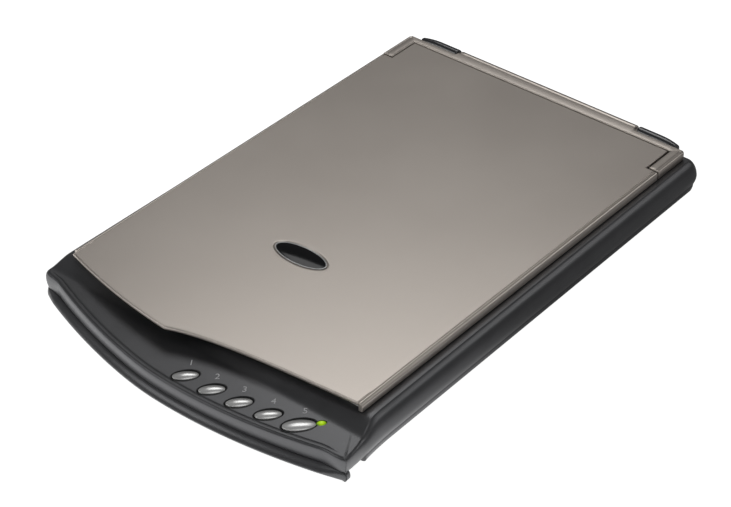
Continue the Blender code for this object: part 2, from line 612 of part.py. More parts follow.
def coil_bm(cx, y0, y1, cz, radius, wire, turns):
    """Round-wire coil along Y, closed at both ends."""
    steps = turns * 12
    rings = []
    for i in range(steps + 1):
        a = 2.0 * math.pi * i / 12.0
        y = y0 + wire + (y1 - y0 - 2.0 * wire) * i / steps
        out = np.array([math.cos(a), 0.0, math.sin(a)])
        centre = np.array([cx, y, cz]) + radius * out
        ring = []
        for k in range(6):
            b = 2.0 * math.pi * k / 6.0
            ring.append(tuple(centre + wire * (math.cos(b) * out + math.sin(b) * np.array([0.0, 1.0, 0.0]))))
        rings.append(ring)
    return loft(rings)


def build_carriage(mats):
    """Moving sensor bar: frame, sensor housing with its window, leaf springs, bushing, glides and belt clamp."""
    y0, y1 = CARRIAGE_Y0, CARRIAGE_Y1
    home = (0.0, 0.5 * (y0 + y1), 0.0)
    section = [(-112.0, 10.8), (112.0, 10.8), (112.0, 17.5), (110.4, 17.5), (110.4, 12.2), (-110.4, 12.2),
               (-110.4, 17.5), (-112.0, 17.5)]
    finish("carriage_frame", section_along_y(section, y0, y1), mats["black_plastic"], home, 0.0)
    housing = box("cis_housing", (-109.6, y0 + 3.0, 13.4), (109.6, y1 - 3.0, 19.4), mats["black_plastic"], 0.4, home)
    slot = box_bm((-105.3, -136.6, 18.5), (105.3, -131.4, 21.0))
    combine(housing, slot)
    box("cis_window", (-105.0, -136.3, 18.6), (105.0, -131.7, 19.35), mats["glass"], 0.0, home)
    for side, word in ((-1.0, "left"), (1.0, "right")):
        xs = sorted((side * 106.0, side * 109.4))
        box(f"cis_glide_{word}", (xs[0], -141.5, 19.6), (xs[1], -126.5, 20.25), mats["white_plastic"], 0.15, home)
        leaf = [(0.0, 12.35), (5.0, 12.35), (9.0, 12.85), (13.0, 12.85), (17.0, 12.35), (22.0, 12.35),
                (22.0, 12.6), (17.2, 12.6), (13.2, 13.1), (8.8, 13.1), (4.8, 12.6), (0.0, 12.6)]
        ring = [(side * (70.0 + x), z) for x, z in leaf]
        finish(f"cis_spring_{word}", section_along_y(ring, -137.0, -131.0), mats["steel"], home, 0.0)
    bushing = box("rod_bushing", (ROD_X - 5.0, y0, 5.0), (ROD_X + 5.0, y1, 10.5), mats["white_plastic"], 0.0, home)
    combine(bushing, y_rod(y0 - 3.0, y1 + 3.0, ROD_RADIUS + 0.09, 24, ROD_X, ROD_Z))
    x = DRIVE_X + PULLEY_RADIUS + 0.5
    clamp = [(x - 2.2, 6.2), (x + 2.2, 6.2), (x + 2.2, 10.5), (x - 2.2, 10.5), (x - 2.2, 10.2), (x + 0.7, 10.2),
             (x + 0.7, 6.8), (x - 0.7, 6.8), (x - 0.7, 9.6), (x - 2.2, 9.6)]
    finish("belt_clamp", section_along_y(clamp, -139.0, -129.0), mats["black_plastic"], home, 0.0)


def build_controls(mats):
    """Oval push buttons, their switches and board, the status light, the main board and the socket."""
    for i, (x, y, a, b) in enumerate(BUTTONS):
        top = deck_height(x, y)
        rings = [circle(x, y, a * 0.35, 14.8, 28, b / a, BUTTON_TURN),
                 circle(x, y, a * 0.35, top - 2.4, 28, b / a, BUTTON_TURN),
                 circle(x, y, a, top - 2.0, 28, b / a, BUTTON_TURN),
                 circle(x, y, a, top + 0.1, 28, b / a, BUTTON_TURN),
                 circle(x, y, a * 0.93, top + 0.55, 28, b / a, BUTTON_TURN),
                 circle(x, y, a * 0.7, top + 0.95, 28, b / a, BUTTON_TURN),
                 circle(x, y, a * 0.35, top + 1.15, 28, b / a, BUTTON_TURN)]
        finish(f"button_{i + 1}", loft(rings), mats["silver"], (x, y, 14.8))
        box(f"tact_switch_{i + 1}", (x - 3.0, y - 3.0, 12.6), (x + 3.0, y + 3.0, 13.6), mats["steel"], 0.0)
    x, y = LED_AT
    top = deck_height(x, y)
    rings = [circle(x, y, r, z, 20, 0.66, BUTTON_TURN)
             for r, z in ((1.6, 12.8), (1.6, top - 2.2), (2.7, top - 1.8), (2.7, top + 0.3), (1.9, top + 0.8))]
    finish("status_led", loft(rings), mats["green"])
    board = []
    for bx in np.linspace(-1.0, 108.0, 9):
        board.append((bx, front_y(bx) + 10.5))
    board += [(108.0, -157.5), (84.0, -161.5), (48.0, -169.0), (-1.0, -171.5)]
    finish("control_board", prism(board, 10.9, 12.3), mats["pcb"], angle=0.0)
    box("main_board", (-112.0, 166.5, 6.2), (-60.0, 185.0, 7.8), mats["pcb"])
    sx, z0 = -95.0, 8.2
    steps = ((6.0, 176.5), (6.0, 194.2), (5.3, 194.2), (4.6, 193.2), (4.6, 184.0))
    rings = []
    for half, y in steps:
        high = 10.0 - (6.0 - half)
        low = 6.0 - half
        rings.append([(sx - half, y, z0 + low), (sx + half, y, z0 + low), (sx + half, y, z0 + high),
                      (sx - half, y, z0 + high)])
    finish("usb_socket", loft(rings), mats["steel"], angle=0.0)


def main():
    """Clear the file, then build each group of pieces."""
    for old in list(bpy.data.objects):
        bpy.data.objects.remove(old)
    mats = {
        "champagne": material("champagne_paint", (0.56, 0.53, 0.48), 0.35, 0.55),
        "charcoal": material("charcoal_plastic", (0.055, 0.055, 0.06), 0.38),
        "black_plastic": material("black_plastic", (0.02, 0.02, 0.022), 0.5),
        "gloss_black": material("badge_black", (0.01, 0.01, 0.012), 0.12),
        "rubber": material("black_rubber", (0.02, 0.02, 0.02), 0.8),
        "steel": material("bright_steel", (0.62, 0.62, 0.63), 0.3, 1.0),
        "brass": material("pinion_brass", (0.72, 0.55, 0.28), 0.3, 1.0),
        "glass": material("clear_glass", (0.85, 0.92, 0.9), 0.05, 0.0, 0.35),
        "white": material("white_sheet", (0.9, 0.9, 0.88), 0.7),
        "foam": material("grey_foam", (0.5, 0.5, 0.5), 0.9),
        "white_plastic": material("white_plastic", (0.85, 0.85, 0.82), 0.4),
        "silver": material("silver_button", (0.7, 0.7, 0.72), 0.3, 0.8),
        "green": material("green_lens", (0.35, 0.75, 0.03), 0.25),
        "pcb": material("board_green", (0.03, 0.2, 0.08), 0.5),
    }
    build_bottom_shell(mats["charcoal"])
    build_top_shell(mats["charcoal"])
    build_case_parts(mats)
    build_lid(mats)
    build_hinge(mats)
    build_drive(mats)
    build_carriage(mats)
    build_controls(mats)


main()
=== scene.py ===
import json
import logging
import math
from dataclasses import dataclass
from enum import Enum

import bmesh
import bpy
import numpy as np
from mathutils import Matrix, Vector


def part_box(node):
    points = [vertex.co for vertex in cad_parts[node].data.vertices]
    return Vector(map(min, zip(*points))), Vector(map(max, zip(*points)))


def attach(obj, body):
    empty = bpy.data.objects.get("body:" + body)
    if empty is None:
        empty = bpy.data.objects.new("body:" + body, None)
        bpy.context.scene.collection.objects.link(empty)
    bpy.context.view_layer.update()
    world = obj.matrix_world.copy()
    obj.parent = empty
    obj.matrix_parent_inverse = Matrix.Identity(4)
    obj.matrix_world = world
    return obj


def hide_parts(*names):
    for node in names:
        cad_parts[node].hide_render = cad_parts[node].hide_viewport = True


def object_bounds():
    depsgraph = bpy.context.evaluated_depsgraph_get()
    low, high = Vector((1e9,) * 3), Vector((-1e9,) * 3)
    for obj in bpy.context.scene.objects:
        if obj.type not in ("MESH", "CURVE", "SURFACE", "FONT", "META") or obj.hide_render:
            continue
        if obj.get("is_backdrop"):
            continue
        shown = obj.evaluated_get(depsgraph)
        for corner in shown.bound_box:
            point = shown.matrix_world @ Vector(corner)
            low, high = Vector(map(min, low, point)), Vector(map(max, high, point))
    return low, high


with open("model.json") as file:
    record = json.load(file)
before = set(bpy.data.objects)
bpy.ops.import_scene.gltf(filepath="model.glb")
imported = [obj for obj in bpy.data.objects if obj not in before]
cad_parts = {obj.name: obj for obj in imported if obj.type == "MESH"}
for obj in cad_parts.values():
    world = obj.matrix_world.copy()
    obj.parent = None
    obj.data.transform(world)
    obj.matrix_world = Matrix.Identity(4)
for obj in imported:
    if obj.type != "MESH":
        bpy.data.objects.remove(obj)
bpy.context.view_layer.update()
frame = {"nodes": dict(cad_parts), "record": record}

MM = 0.001
MERGE_M = 0.000002
Colour = tuple[float, float, float]
log = logging.getLogger("flatbed_scanner")


# ---------------------------------------------------------------- shapes


class Ends(Enum):
    """How the first and last ring of a skin are closed."""

    FAN = "a fan on each"
    JOINED = "joined to each other"


@dataclass(frozen=True)
class Extent:
    """Box of a frame node, in millimetres."""

    low: np.ndarray
    high: np.ndarray

    @classmethod
    def of(cls, node: str) -> "Extent":
        """Read the box of a node of the frame."""
        low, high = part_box(node)
        return cls(np.array(low) / MM, np.array(high) / MM)

    @property
    def middle(self) -> np.ndarray:
        """Centre of the box."""
        return 0.5 * (self.low + self.high)


def smooth(start: float, end: float, value: np.ndarray | float) -> np.ndarray:
    """Ease from 0 at start to 1 at end along a cubic with flat ends."""
    share = np.clip((np.asarray(value, float) - start) / (end - start), 0.0, 1.0)
    return share * share * (3.0 - 2.0 * share)


def spline(points: np.ndarray, steps: int) -> np.ndarray:
    """Draw a smooth line through control points.

    Each stretch is the cubic whose end slopes are half the step between its neighbours.

    Args:
        points: Control points along the first axis; the other axes may have any shape.
        steps: Points made on each stretch.

    Returns:
        The points of the line, the last control point included.
    """
    points = np.asarray(points, float)
    padded = np.concatenate((2 * points[:1] - points[1:2], points, 2 * points[-1:] - points[-2:-1]))
    t = np.arange(steps).reshape((1, steps) + (1,) * (points.ndim - 1)) / steps
    p0, p1, p2, p3 = (padded[k:len(padded) - 3 + k][:, None] for k in range(4))
    line = 0.5 * (2 * p1 + (p2 - p0) * t + (2 * p0 - 5 * p1 + 4 * p2 - p3) * t ** 2
                  + (3 * p1 - p0 - 3 * p2 + p3) * t ** 3)
    return np.concatenate((line.reshape((-1,) + points.shape[1:]), points[-1:]))


def unit(vectors: np.ndarray) -> np.ndarray:
    """Give every vector the length one."""
    return vectors / np.linalg.norm(vectors, axis=-1, keepdims=True)


def inset(outline: np.ndarray, amount: np.ndarray | float) -> np.ndarray:
    """Move an anticlockwise outline inwards along the mitre of each corner.

    Args:
        outline: Points in plan, N by 2.
        amount: Distance for the whole outline or for each point.

    Returns:
        The moved points.
    """
    before = unit(outline - np.roll(outline, 1, axis=0))
    after = unit(np.roll(outline, -1, axis=0) - outline)
    first = np.stack((-before[:, 1], before[:, 0]), axis=1)
    second = np.stack((-after[:, 1], after[:, 0]), axis=1)
    middle = unit(first + second)
    stretch = 1.0 / np.maximum((middle * first).sum(axis=1), 0.5)
    return outline + middle * (stretch * amount)[:, None]


def rounded(ring: np.ndarray, corners: list[int], reach: float, steps: int = 4) -> np.ndarray:
    """Round chosen corners of a ring with a parabola that leaves each side at a distance from the corner.

    Args:
        ring: Points, N by 2 or N by 3.
        corners: Index of each corner to round.
        reach: Distance from the corner to where the rounding starts.
        steps: Number of stretches of each rounding.

    Returns:
        The ring with every chosen corner replaced by its rounding.
    """
    t = np.linspace(0.0, 1.0, steps + 1)[:, None]
    parts, last = [], 0
    for index in sorted(corners):
        here = ring[index]
        back = here + unit(ring[index - 1] - here) * reach
        ahead = here + unit(ring[(index + 1) % len(ring)] - here) * reach
        parts += [ring[last:index], back * (1 - t) ** 2 + 2 * here * t * (1 - t) + ahead * t ** 2]
        last = index + 1
    return np.concatenate(parts + [ring[last:]])


def oval(centre: tuple[float, float], a: float, b: float, turn: float, count: int) -> np.ndarray:
    """Points of an ellipse with half-axes a and b, turned in plan."""
    angle = 2 * np.pi * np.arange(count) / count
    u, v = a * np.cos(angle), b * np.sin(angle)
    return np.stack((centre[0] + u * math.cos(turn) - v * math.sin(turn),
                     centre[1] + u * math.sin(turn) + v * math.cos(turn)), axis=1)


def raised(flat: np.ndarray, height: np.ndarray | float) -> np.ndarray:
    """Give plan points a height."""
    return np.concatenate((flat, np.broadcast_to(height, (len(flat),))[:, None]), axis=1)


def skin(name: str, rings: np.ndarray, ends: Ends = Ends.FAN, turn_out: bool = False) -> bpy.types.Mesh:
    """Cover a stack of closed rings with quads.

    Args:
        name: Name of the mesh.
        rings: Points in millimetres, rings by points by 3.
        ends: Close the first and last ring each with a fan, or join them to each other.
        turn_out: Work out afresh which way the faces point.

    Returns:
        The mesh, in metres.
    """
    rings = np.asarray(rings, float)
    rows, count = rings.shape[:2]
    index = np.arange(rows * count).reshape(rows, count)
    if ends is Ends.JOINED:
        index = np.vstack((index, index[:1]))
    beside = np.roll(index, -1, axis=1)
    faces = np.stack((index[:-1], beside[:-1], beside[1:], index[1:]), axis=-1).reshape(-1, 4).tolist()
    points = rings.reshape(-1, 3)
    for row, flip in ((0, True), (-1, False)) if ends is Ends.FAN else ():
        centre = np.full(count, len(points))
        order = (centre, beside[row], index[row]) if flip else (centre, index[row], beside[row])
        faces += np.stack(order, axis=-1).tolist()
        points = np.vstack((points, rings[row].mean(axis=0)))
    mesh = bpy.data.meshes.new(name)
    mesh.from_pydata((points * MM).tolist(), [], faces)
    if turn_out:
        made = bmesh.new()
        made.from_mesh(mesh)
        bmesh.ops.remove_doubles(made, verts=made.verts, dist=MERGE_M)
        bmesh.ops.recalc_face_normals(made, faces=made.faces)
        made.to_mesh(mesh)
        made.free()
    return mesh


def joined(name: str, meshes: list[bpy.types.Mesh]) -> bpy.types.Mesh:
    """Put several meshes into one."""
    made = bmesh.new()
    for mesh in meshes:
        made.from_mesh(mesh)
        bpy.data.meshes.remove(mesh)
    mesh = bpy.data.meshes.new(name)
    made.to_mesh(mesh)
    made.free()
    return mesh


def cut(name: str, mesh: bpy.types.Mesh, tools: list[bpy.types.Mesh]) -> bpy.types.Mesh:
    """Cut closed tools out of a closed mesh.

    Args:
        name: Name of the new mesh.
        mesh: The mesh to cut.
        tools: The shapes to take away, clear of each other.

    Returns:
        The cut mesh.
    """
    body = bpy.data.objects.new(name, mesh)
    bpy.context.scene.collection.objects.link(body)
    cutters = []
    for shape in tools:
        tool = bpy.data.objects.new("cutter", shape)
        bpy.context.scene.collection.objects.link(tool)
        step = body.modifiers.new("cut", "BOOLEAN")
        step.operation, step.object, step.solver = "DIFFERENCE", tool, "MANIFOLD"
        cutters.append(tool)
    bpy.context.view_layer.update()
    result = bpy.data.meshes.new_from_object(body.evaluated_get(bpy.context.evaluated_depsgraph_get()))
    for made in [body] + cutters:
        bpy.data.objects.remove(made)
    result.name = name
    return result


def block(low: tuple[float, float, float], high: tuple[float, float, float]) -> bpy.types.Mesh:
    """Plain block, as a cutter or a filling."""
    foot = np.array([(low[0], low[1]), (high[0], low[1]), (high[0], high[1]), (low[0], high[1])])
    return skin("block", np.stack((raised(foot, low[2]), raised(foot, high[2]))))


def piece(mesh: bpy.types.Mesh, finish: bpy.types.Material, body: str,
          replaces: tuple[str, ...] = (), crease: float = 34.0) -> bpy.types.Object:
    """Make a mesh a dressed piece of the object.

    Args:
        mesh: The mesh, in its place, in metres; the piece takes its name.
        finish: Material of every face.
        body: Body of the frame that carries the piece.
        replaces: Frame nodes that the piece stands for.
        crease: Edges sharper than this angle, in degrees, stay sharp.

    Returns:
        The new object.
    """
    mesh.materials.clear()
    mesh.materials.append(finish)
    mesh.polygons.foreach_set("use_smooth", np.ones(len(mesh.polygons), bool))
    mesh.set_sharp_from_angle(angle=math.radians(crease))
    made = bpy.data.objects.new(mesh.name, mesh)
    bpy.context.scene.collection.objects.link(made)
    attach(made, body)
    if replaces:
        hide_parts(*replaces)
    log.info("%s: %d faces on %s", made.name, len(mesh.polygons), body)
    return made


# ---------------------------------------------------------------- finishes


class Signal:
    """A number on a shader link; arithmetic on it adds Math nodes."""

    def __init__(self, recipe: "Recipe", socket: bpy.types.NodeSocket) -> None:
        """Hold a socket of a recipe."""
        self.recipe, self.socket = recipe, socket

    def __add__(self, other: "Signal | float") -> "Signal":
        """Sum."""
        return self.recipe.math("ADD", self, other)

    def __radd__(self, other: float) -> "Signal":
        """Sum with the number first."""
        return self.recipe.math("ADD", other, self)

    def __sub__(self, other: "Signal | float") -> "Signal":
        """Difference."""
        return self.recipe.math("SUBTRACT", self, other)

    def __rsub__(self, other: float) -> "Signal":
        """Difference with the number first."""
        return self.recipe.math("SUBTRACT", other, self)

    def __mul__(self, other: "Signal | float") -> "Signal":
        """Product."""
        return self.recipe.math("MULTIPLY", self, other)

    def __rmul__(self, other: float) -> "Signal":
        """Product with the number first."""
        return self.recipe.math("MULTIPLY", other, self)

    def __pow__(self, other: float) -> "Signal":
        """Power."""
        return self.recipe.math("POWER", self, other)

    def eased(self, start: float, end: float) -> "Signal":
        """Ease from 0 at start to 1 at end."""
        settings = {"interpolation_type": "SMOOTHSTEP", "clamp": True}
        made = self.recipe.node("ShaderNodeMapRange", settings, {0: self, 1: start, 2: end})
        return Signal(self.recipe, made.outputs[0])


Value = Signal | bpy.types.NodeSocket | float | tuple


class Recipe:
    """A material under construction, on one Principled shader."""

    def __init__(self, name: str, **constants: Value) -> None:
        """Start a material; constants are set on the shader's own sockets, with spaces as underscores."""
        self.material = bpy.data.materials.new(name)
        self.material.use_nodes = True
        self.tree = self.material.node_tree
        self.tree.nodes.clear()
        settings = {key.replace("_", " "): value for key, value in constants.items()}
        self.shader = self.node("ShaderNodeBsdfPrincipled", {}, settings)
        self.node("ShaderNodeOutputMaterial", {}, {0: self.shader.outputs[0]})
        self.place = self.node("ShaderNodeTexCoord").outputs["Object"]

    def node(self, kind: str, settings: dict | None = None, values: dict | None = None) -> bpy.types.Node:
        """Add a node.

        Args:
            kind: Type of the node.
            settings: Properties set first; "stops" holds the (place, colour) pairs of a ramp.
            values: Number, colour or link for each socket, by name or index.

        Returns:
            The node.
        """
        made = self.tree.nodes.new(kind)
        for key, value in (settings or {}).items():
            if key == "stops":
                stops = made.color_ramp.elements
                while len(stops) < len(value):
                    stops.new(0.5)
                for stop, (where, colour) in zip(stops, value):
                    stop.position, stop.color = where, (*colour, 1.0)
            else:
                setattr(made, key, value)
        for key, value in (values or {}).items():
            socket = made.inputs[key]
            if isinstance(value, Signal):
                value = value.socket
            if isinstance(value, bpy.types.NodeSocket):
                self.tree.links.new(value, socket)
            elif isinstance(value, tuple) and len(value) == 3 and socket.type == "RGBA":
                socket.default_value = (*value, 1.0)
            else:
                socket.default_value = value
        return made

    def math(self, operation: str, first: Value, second: Value) -> Signal:
        """Join two numbers with a Math node."""
        made = self.node("ShaderNodeMath", {"operation": operation}, {0: first, 1: second})
        return Signal(self, made.outputs[0])

    def stretched(self, scale: Colour) -> bpy.types.NodeSocket:
        """Object coordinates scaled by axis."""
        values = {"Vector": self.place, "Scale": scale}
        return self.node("ShaderNodeMapping", {"vector_type": "POINT"}, values).outputs[0]

    def noise(self, size_mm: float, detail: float = 2.0, along: Colour = (1.0, 1.0, 1.0)) -> Signal:
        """Cloudy pattern whose lumps are about a size across, stretched by axis where asked."""
        place = self.place if along == (1.0, 1.0, 1.0) else self.stretched(along)
        values = {"Vector": place, "Scale": 1.0 / (size_mm * MM), "Detail": detail}
        return Signal(self, self.node("ShaderNodeTexNoise", {}, values).outputs["Fac"])

    def cells(self, size_mm: float, feature: str = "F1") -> Signal:
        """Distance pattern of scattered cells about a size across."""
        made = self.node("ShaderNodeTexVoronoi", {"feature": feature},
                         {"Vector": self.place, "Scale": 1.0 / (size_mm * MM)})
        return Signal(self, made.outputs["Distance"])

    def axis(self, which: str) -> Signal:
        """One object coordinate, in metres."""
        return Signal(self, self.node("ShaderNodeSeparateXYZ", {}, {0: self.place}).outputs[which])

    def blend(self, amount: Value, first: Value, second: Value) -> bpy.types.NodeSocket:
        """Mix two colours by an amount."""
        made = self.node("ShaderNodeMix", {"data_type": "RGBA"}, {0: amount, 6: first, 7: second})
        return made.outputs[2]

    def bump(self, height: Signal, depth_mm: float, strength: float = 1.0,
             under: bpy.types.NodeSocket | None = None) -> bpy.types.NodeSocket:
        """Turn a height pattern into a normal, over another bump where one is given."""
        values = {"Height": height, "Distance": depth_mm * MM, "Strength": strength}
        if under is not None:
            values["Normal"] = under
        return self.node("ShaderNodeBump", {}, values).outputs[0]

    def wear(self, **links: Value) -> bpy.types.Material:
        """Link the varying values to the shader and hand the material over."""
        for key, value in links.items():
            socket = value.socket if isinstance(value, Signal) else value
            self.tree.links.new(socket, self.shader.inputs[key.replace("_", " ")])
        return self.material


def scaled(colour: Colour, factor: float) -> Colour:
    """Colour made lighter or darker."""
    return tuple(channel * factor for channel in colour)


@dataclass(frozen=True)
class Moulded:
    """Moulded or sprayed finish: two close tones, uneven gloss and a fine grain."""

    name: str
    tone: Colour
    roughness: float = 0.4
    metallic: float = 0.0
    specular: float = 0.5
    coat: float = 0.0
    coat_roughness: float = 0.2
    tone_swing: float = 0.12
    gloss_swing: float = 0.06
    patch_mm: float = 22.0
    grain_mm: float = 0.5
    grain_depth_mm: float = 0.008

    def make(self) -> bpy.types.Material:
        """Build the material."""
        recipe = Recipe(self.name, Metallic=self.metallic, Specular_IOR_Level=self.specular,
                        Coat_Weight=self.coat, Coat_Roughness=self.coat_roughness)
        cloud = recipe.noise(self.patch_mm, 3.0)
        grain = recipe.noise(self.grain_mm, 2.0)
        mix = (cloud * 0.7 + grain * 0.3).eased(0.3, 0.7)
        dark, light = (scaled(self.tone, 1 + sign * self.tone_swing) for sign in (-1, 1))
        colour = recipe.blend(mix, dark, light)
        dust = recipe.noise(2.2, 4.0).eased(0.62, 0.8) * recipe.noise(31.0, 1.0).eased(0.5, 0.75)
        rough = cloud * self.gloss_swing + (self.roughness - 0.5 * self.gloss_swing) + dust * 0.05
        return recipe.wear(Base_Color=colour, Roughness=rough,
                           Normal=recipe.bump(grain, self.grain_depth_mm))


@dataclass(frozen=True)
class SatinPaint:
    """Sprayed champagne paint: metal flakes under a soft clear coat."""

    name: str = "champagne_satin_paint"
    tone: Colour = (0.56, 0.505, 0.455)
    flake: Colour = (0.70, 0.645, 0.59)
    metallic: float = 0.78
    roughness: float = 0.33
    coat: float = 0.10
    coat_roughness: float = 0.28

    def make(self) -> bpy.types.Material:
        """Build the material: flakes as scattered small cells, faint drifts of tone and orange peel."""
        recipe = Recipe(self.name, Metallic=self.metallic, Specular_IOR_Level=0.4,
                        Coat_Weight=self.coat, Coat_Roughness=self.coat_roughness)
        flakes = recipe.noise(0.32, 1.0)
        drift = recipe.noise(60.0, 2.0)
        sparkle = flakes.eased(0.45, 0.72)
        colour = recipe.blend(sparkle * 0.5 + drift * 0.3, self.tone, self.flake)
        rough = self.roughness + (drift - 0.5) * 0.05 - sparkle * 0.035
        peel = recipe.noise(1.6, 2.0)
        normal = recipe.bump(flakes, 0.006, 0.6, recipe.bump(peel, 0.004, 0.5))
        return recipe.wear(Base_Color=colour, Roughness=rough, Normal=normal)


@dataclass(frozen=True)
class Metal:
    """Bare metal with fine lines drawn along one axis."""

    name: str
    tone: Colour
    roughness: float = 0.28
    along: Colour = (1.0, 0.04, 1.0)
    line_mm: float = 0.25

    def make(self) -> bpy.types.Material:
        """Build the material: stretched noise marks the tone, the gloss and the surface."""
        recipe = Recipe(self.name, Metallic=1.0)
        lines = recipe.noise(self.line_mm, 2.0, self.along)
        stain = recipe.noise(9.0, 3.0)
        colour = recipe.blend(lines * 0.5 + stain * 0.5, scaled(self.tone, 0.82), scaled(self.tone, 1.08))
        rough = self.roughness + (lines - 0.5) * 0.16 + stain * 0.05
        return recipe.wear(Base_Color=colour, Roughness=rough, Normal=recipe.bump(lines, 0.004, 0.5))


@dataclass(frozen=True)
class ClearGlass:
    """Clear pane with a faint film of dust and wiping marks."""

    name: str = "clear_pane"
    tint: Colour = (0.93, 0.975, 0.955)

    def make(self) -> bpy.types.Material:
        """Build the material."""
        recipe = Recipe(self.name, Transmission_Weight=1.0, IOR=1.5, Specular_IOR_Level=0.5)
        wipes = recipe.noise(4.0, 3.0, (1.0, 0.12, 1.0)).eased(0.5, 0.85)
        specks = recipe.noise(1.1, 2.0).eased(0.68, 0.8)
        colour = recipe.blend(wipes * 0.12, self.tint, scaled(self.tint, 0.9))
        return recipe.wear(Base_Color=colour, Roughness=0.015 + wipes * 0.03 + specks * 0.08)


@dataclass(frozen=True)
class Foam:
    """Open-cell foam with round pores."""

    name: str
    tone: Colour
    pore_mm: float = 0.9

    def make(self) -> bpy.types.Material:
        """Build the material: cell distance gives the pores their depth and a darker colour, painted shade in
        their hollows.
        """
        recipe = Recipe(self.name, Specular_IOR_Level=0.2)
        pores = recipe.cells(self.pore_mm)
        walls = pores.eased(0.15, 0.6)
        # The darker pore colour is painted shade in the hollows of the foam.
        colour = recipe.blend(walls, scaled(self.tone, 0.45), self.tone)
        return recipe.wear(Base_Color=colour, Roughness=0.82 + walls * 0.12,
                           Normal=recipe.bump(pores, 0.15, 0.6))


@dataclass(frozen=True)
class GlowLens:
    """Tinted lens lit from below, brighter over its middle."""

    name: str = "green_lens"
    tone: Colour = (0.50, 0.80, 0.01)
    edge: Colour = (0.16, 0.32, 0.005)
    centre: tuple[float, float] = (0.0, 0.0)
    strength: float = 0.55

    def make(self) -> bpy.types.Material:
        """Build the material: distance from the lens centre mixes the two tones."""
        recipe = Recipe(self.name, Emission_Strength=self.strength, Coat_Weight=0.6, Coat_Roughness=0.08)
        across, back = recipe.axis("X") - self.centre[0] * MM, recipe.axis("Y") - self.centre[1] * MM
        reach = (across * across + back * back) ** 0.5
        ring = reach.eased(0.0008, 0.0030)
        cloud = recipe.noise(0.8, 2.0)
        colour = recipe.blend(ring, self.tone, self.edge)
        return recipe.wear(Base_Color=colour, Emission_Color=colour, Roughness=0.16 + cloud * 0.08,
                           Normal=recipe.bump(cloud, 0.01, 0.4))


@dataclass(frozen=True)
class CircuitBoard:
    """Green board with paler tracks and tinned pads."""

    name: str = "board_green"
    mask: Colour = (0.012, 0.11, 0.045)
    track: Colour = (0.03, 0.20, 0.08)
    pad: Colour = (0.72, 0.70, 0.64)

    def make(self) -> bpy.types.Material:
        """Build the material: square cell edges draw the tracks, small cells the pads."""
        recipe = Recipe(self.name, Specular_IOR_Level=0.5, Coat_Weight=0.3)
        grid = recipe.node("ShaderNodeTexVoronoi", {"feature": "F1", "distance": "CHEBYCHEV"},
                           {"Vector": recipe.place, "Scale": 1.0 / (3.0 * MM)})
        tracks = Signal(recipe, grid.outputs["Distance"]).eased(0.40, 0.46)
        pads = 1.0 - recipe.cells(2.4).eased(0.16, 0.2)
        ground = recipe.blend(tracks, self.mask, self.track)
        colour = recipe.blend(pads, ground, self.pad)
        return recipe.wear(Base_Color=colour, Metallic=pads * 0.8, Roughness=0.42 - pads * 0.12,
                           Normal=recipe.bump(tracks * 0.5 + pads, 0.04, 0.6))


@dataclass(frozen=True)
class Ink:
    """Printed mark: pale ink with slightly broken edges."""

    name: str
    tone: Colour

    def make(self) -> bpy.types.Material:
        """Build the material."""
        recipe = Recipe(self.name, Specular_IOR_Level=0.3)
        breaks = recipe.noise(0.15, 2.0)
        colour = recipe.blend(breaks.eased(0.2, 0.6), scaled(self.tone, 0.75), self.tone)
        return recipe.wear(Base_Color=colour, Roughness=0.5 + breaks * 0.1,
                           Normal=recipe.bump(breaks, 0.003, 0.3))


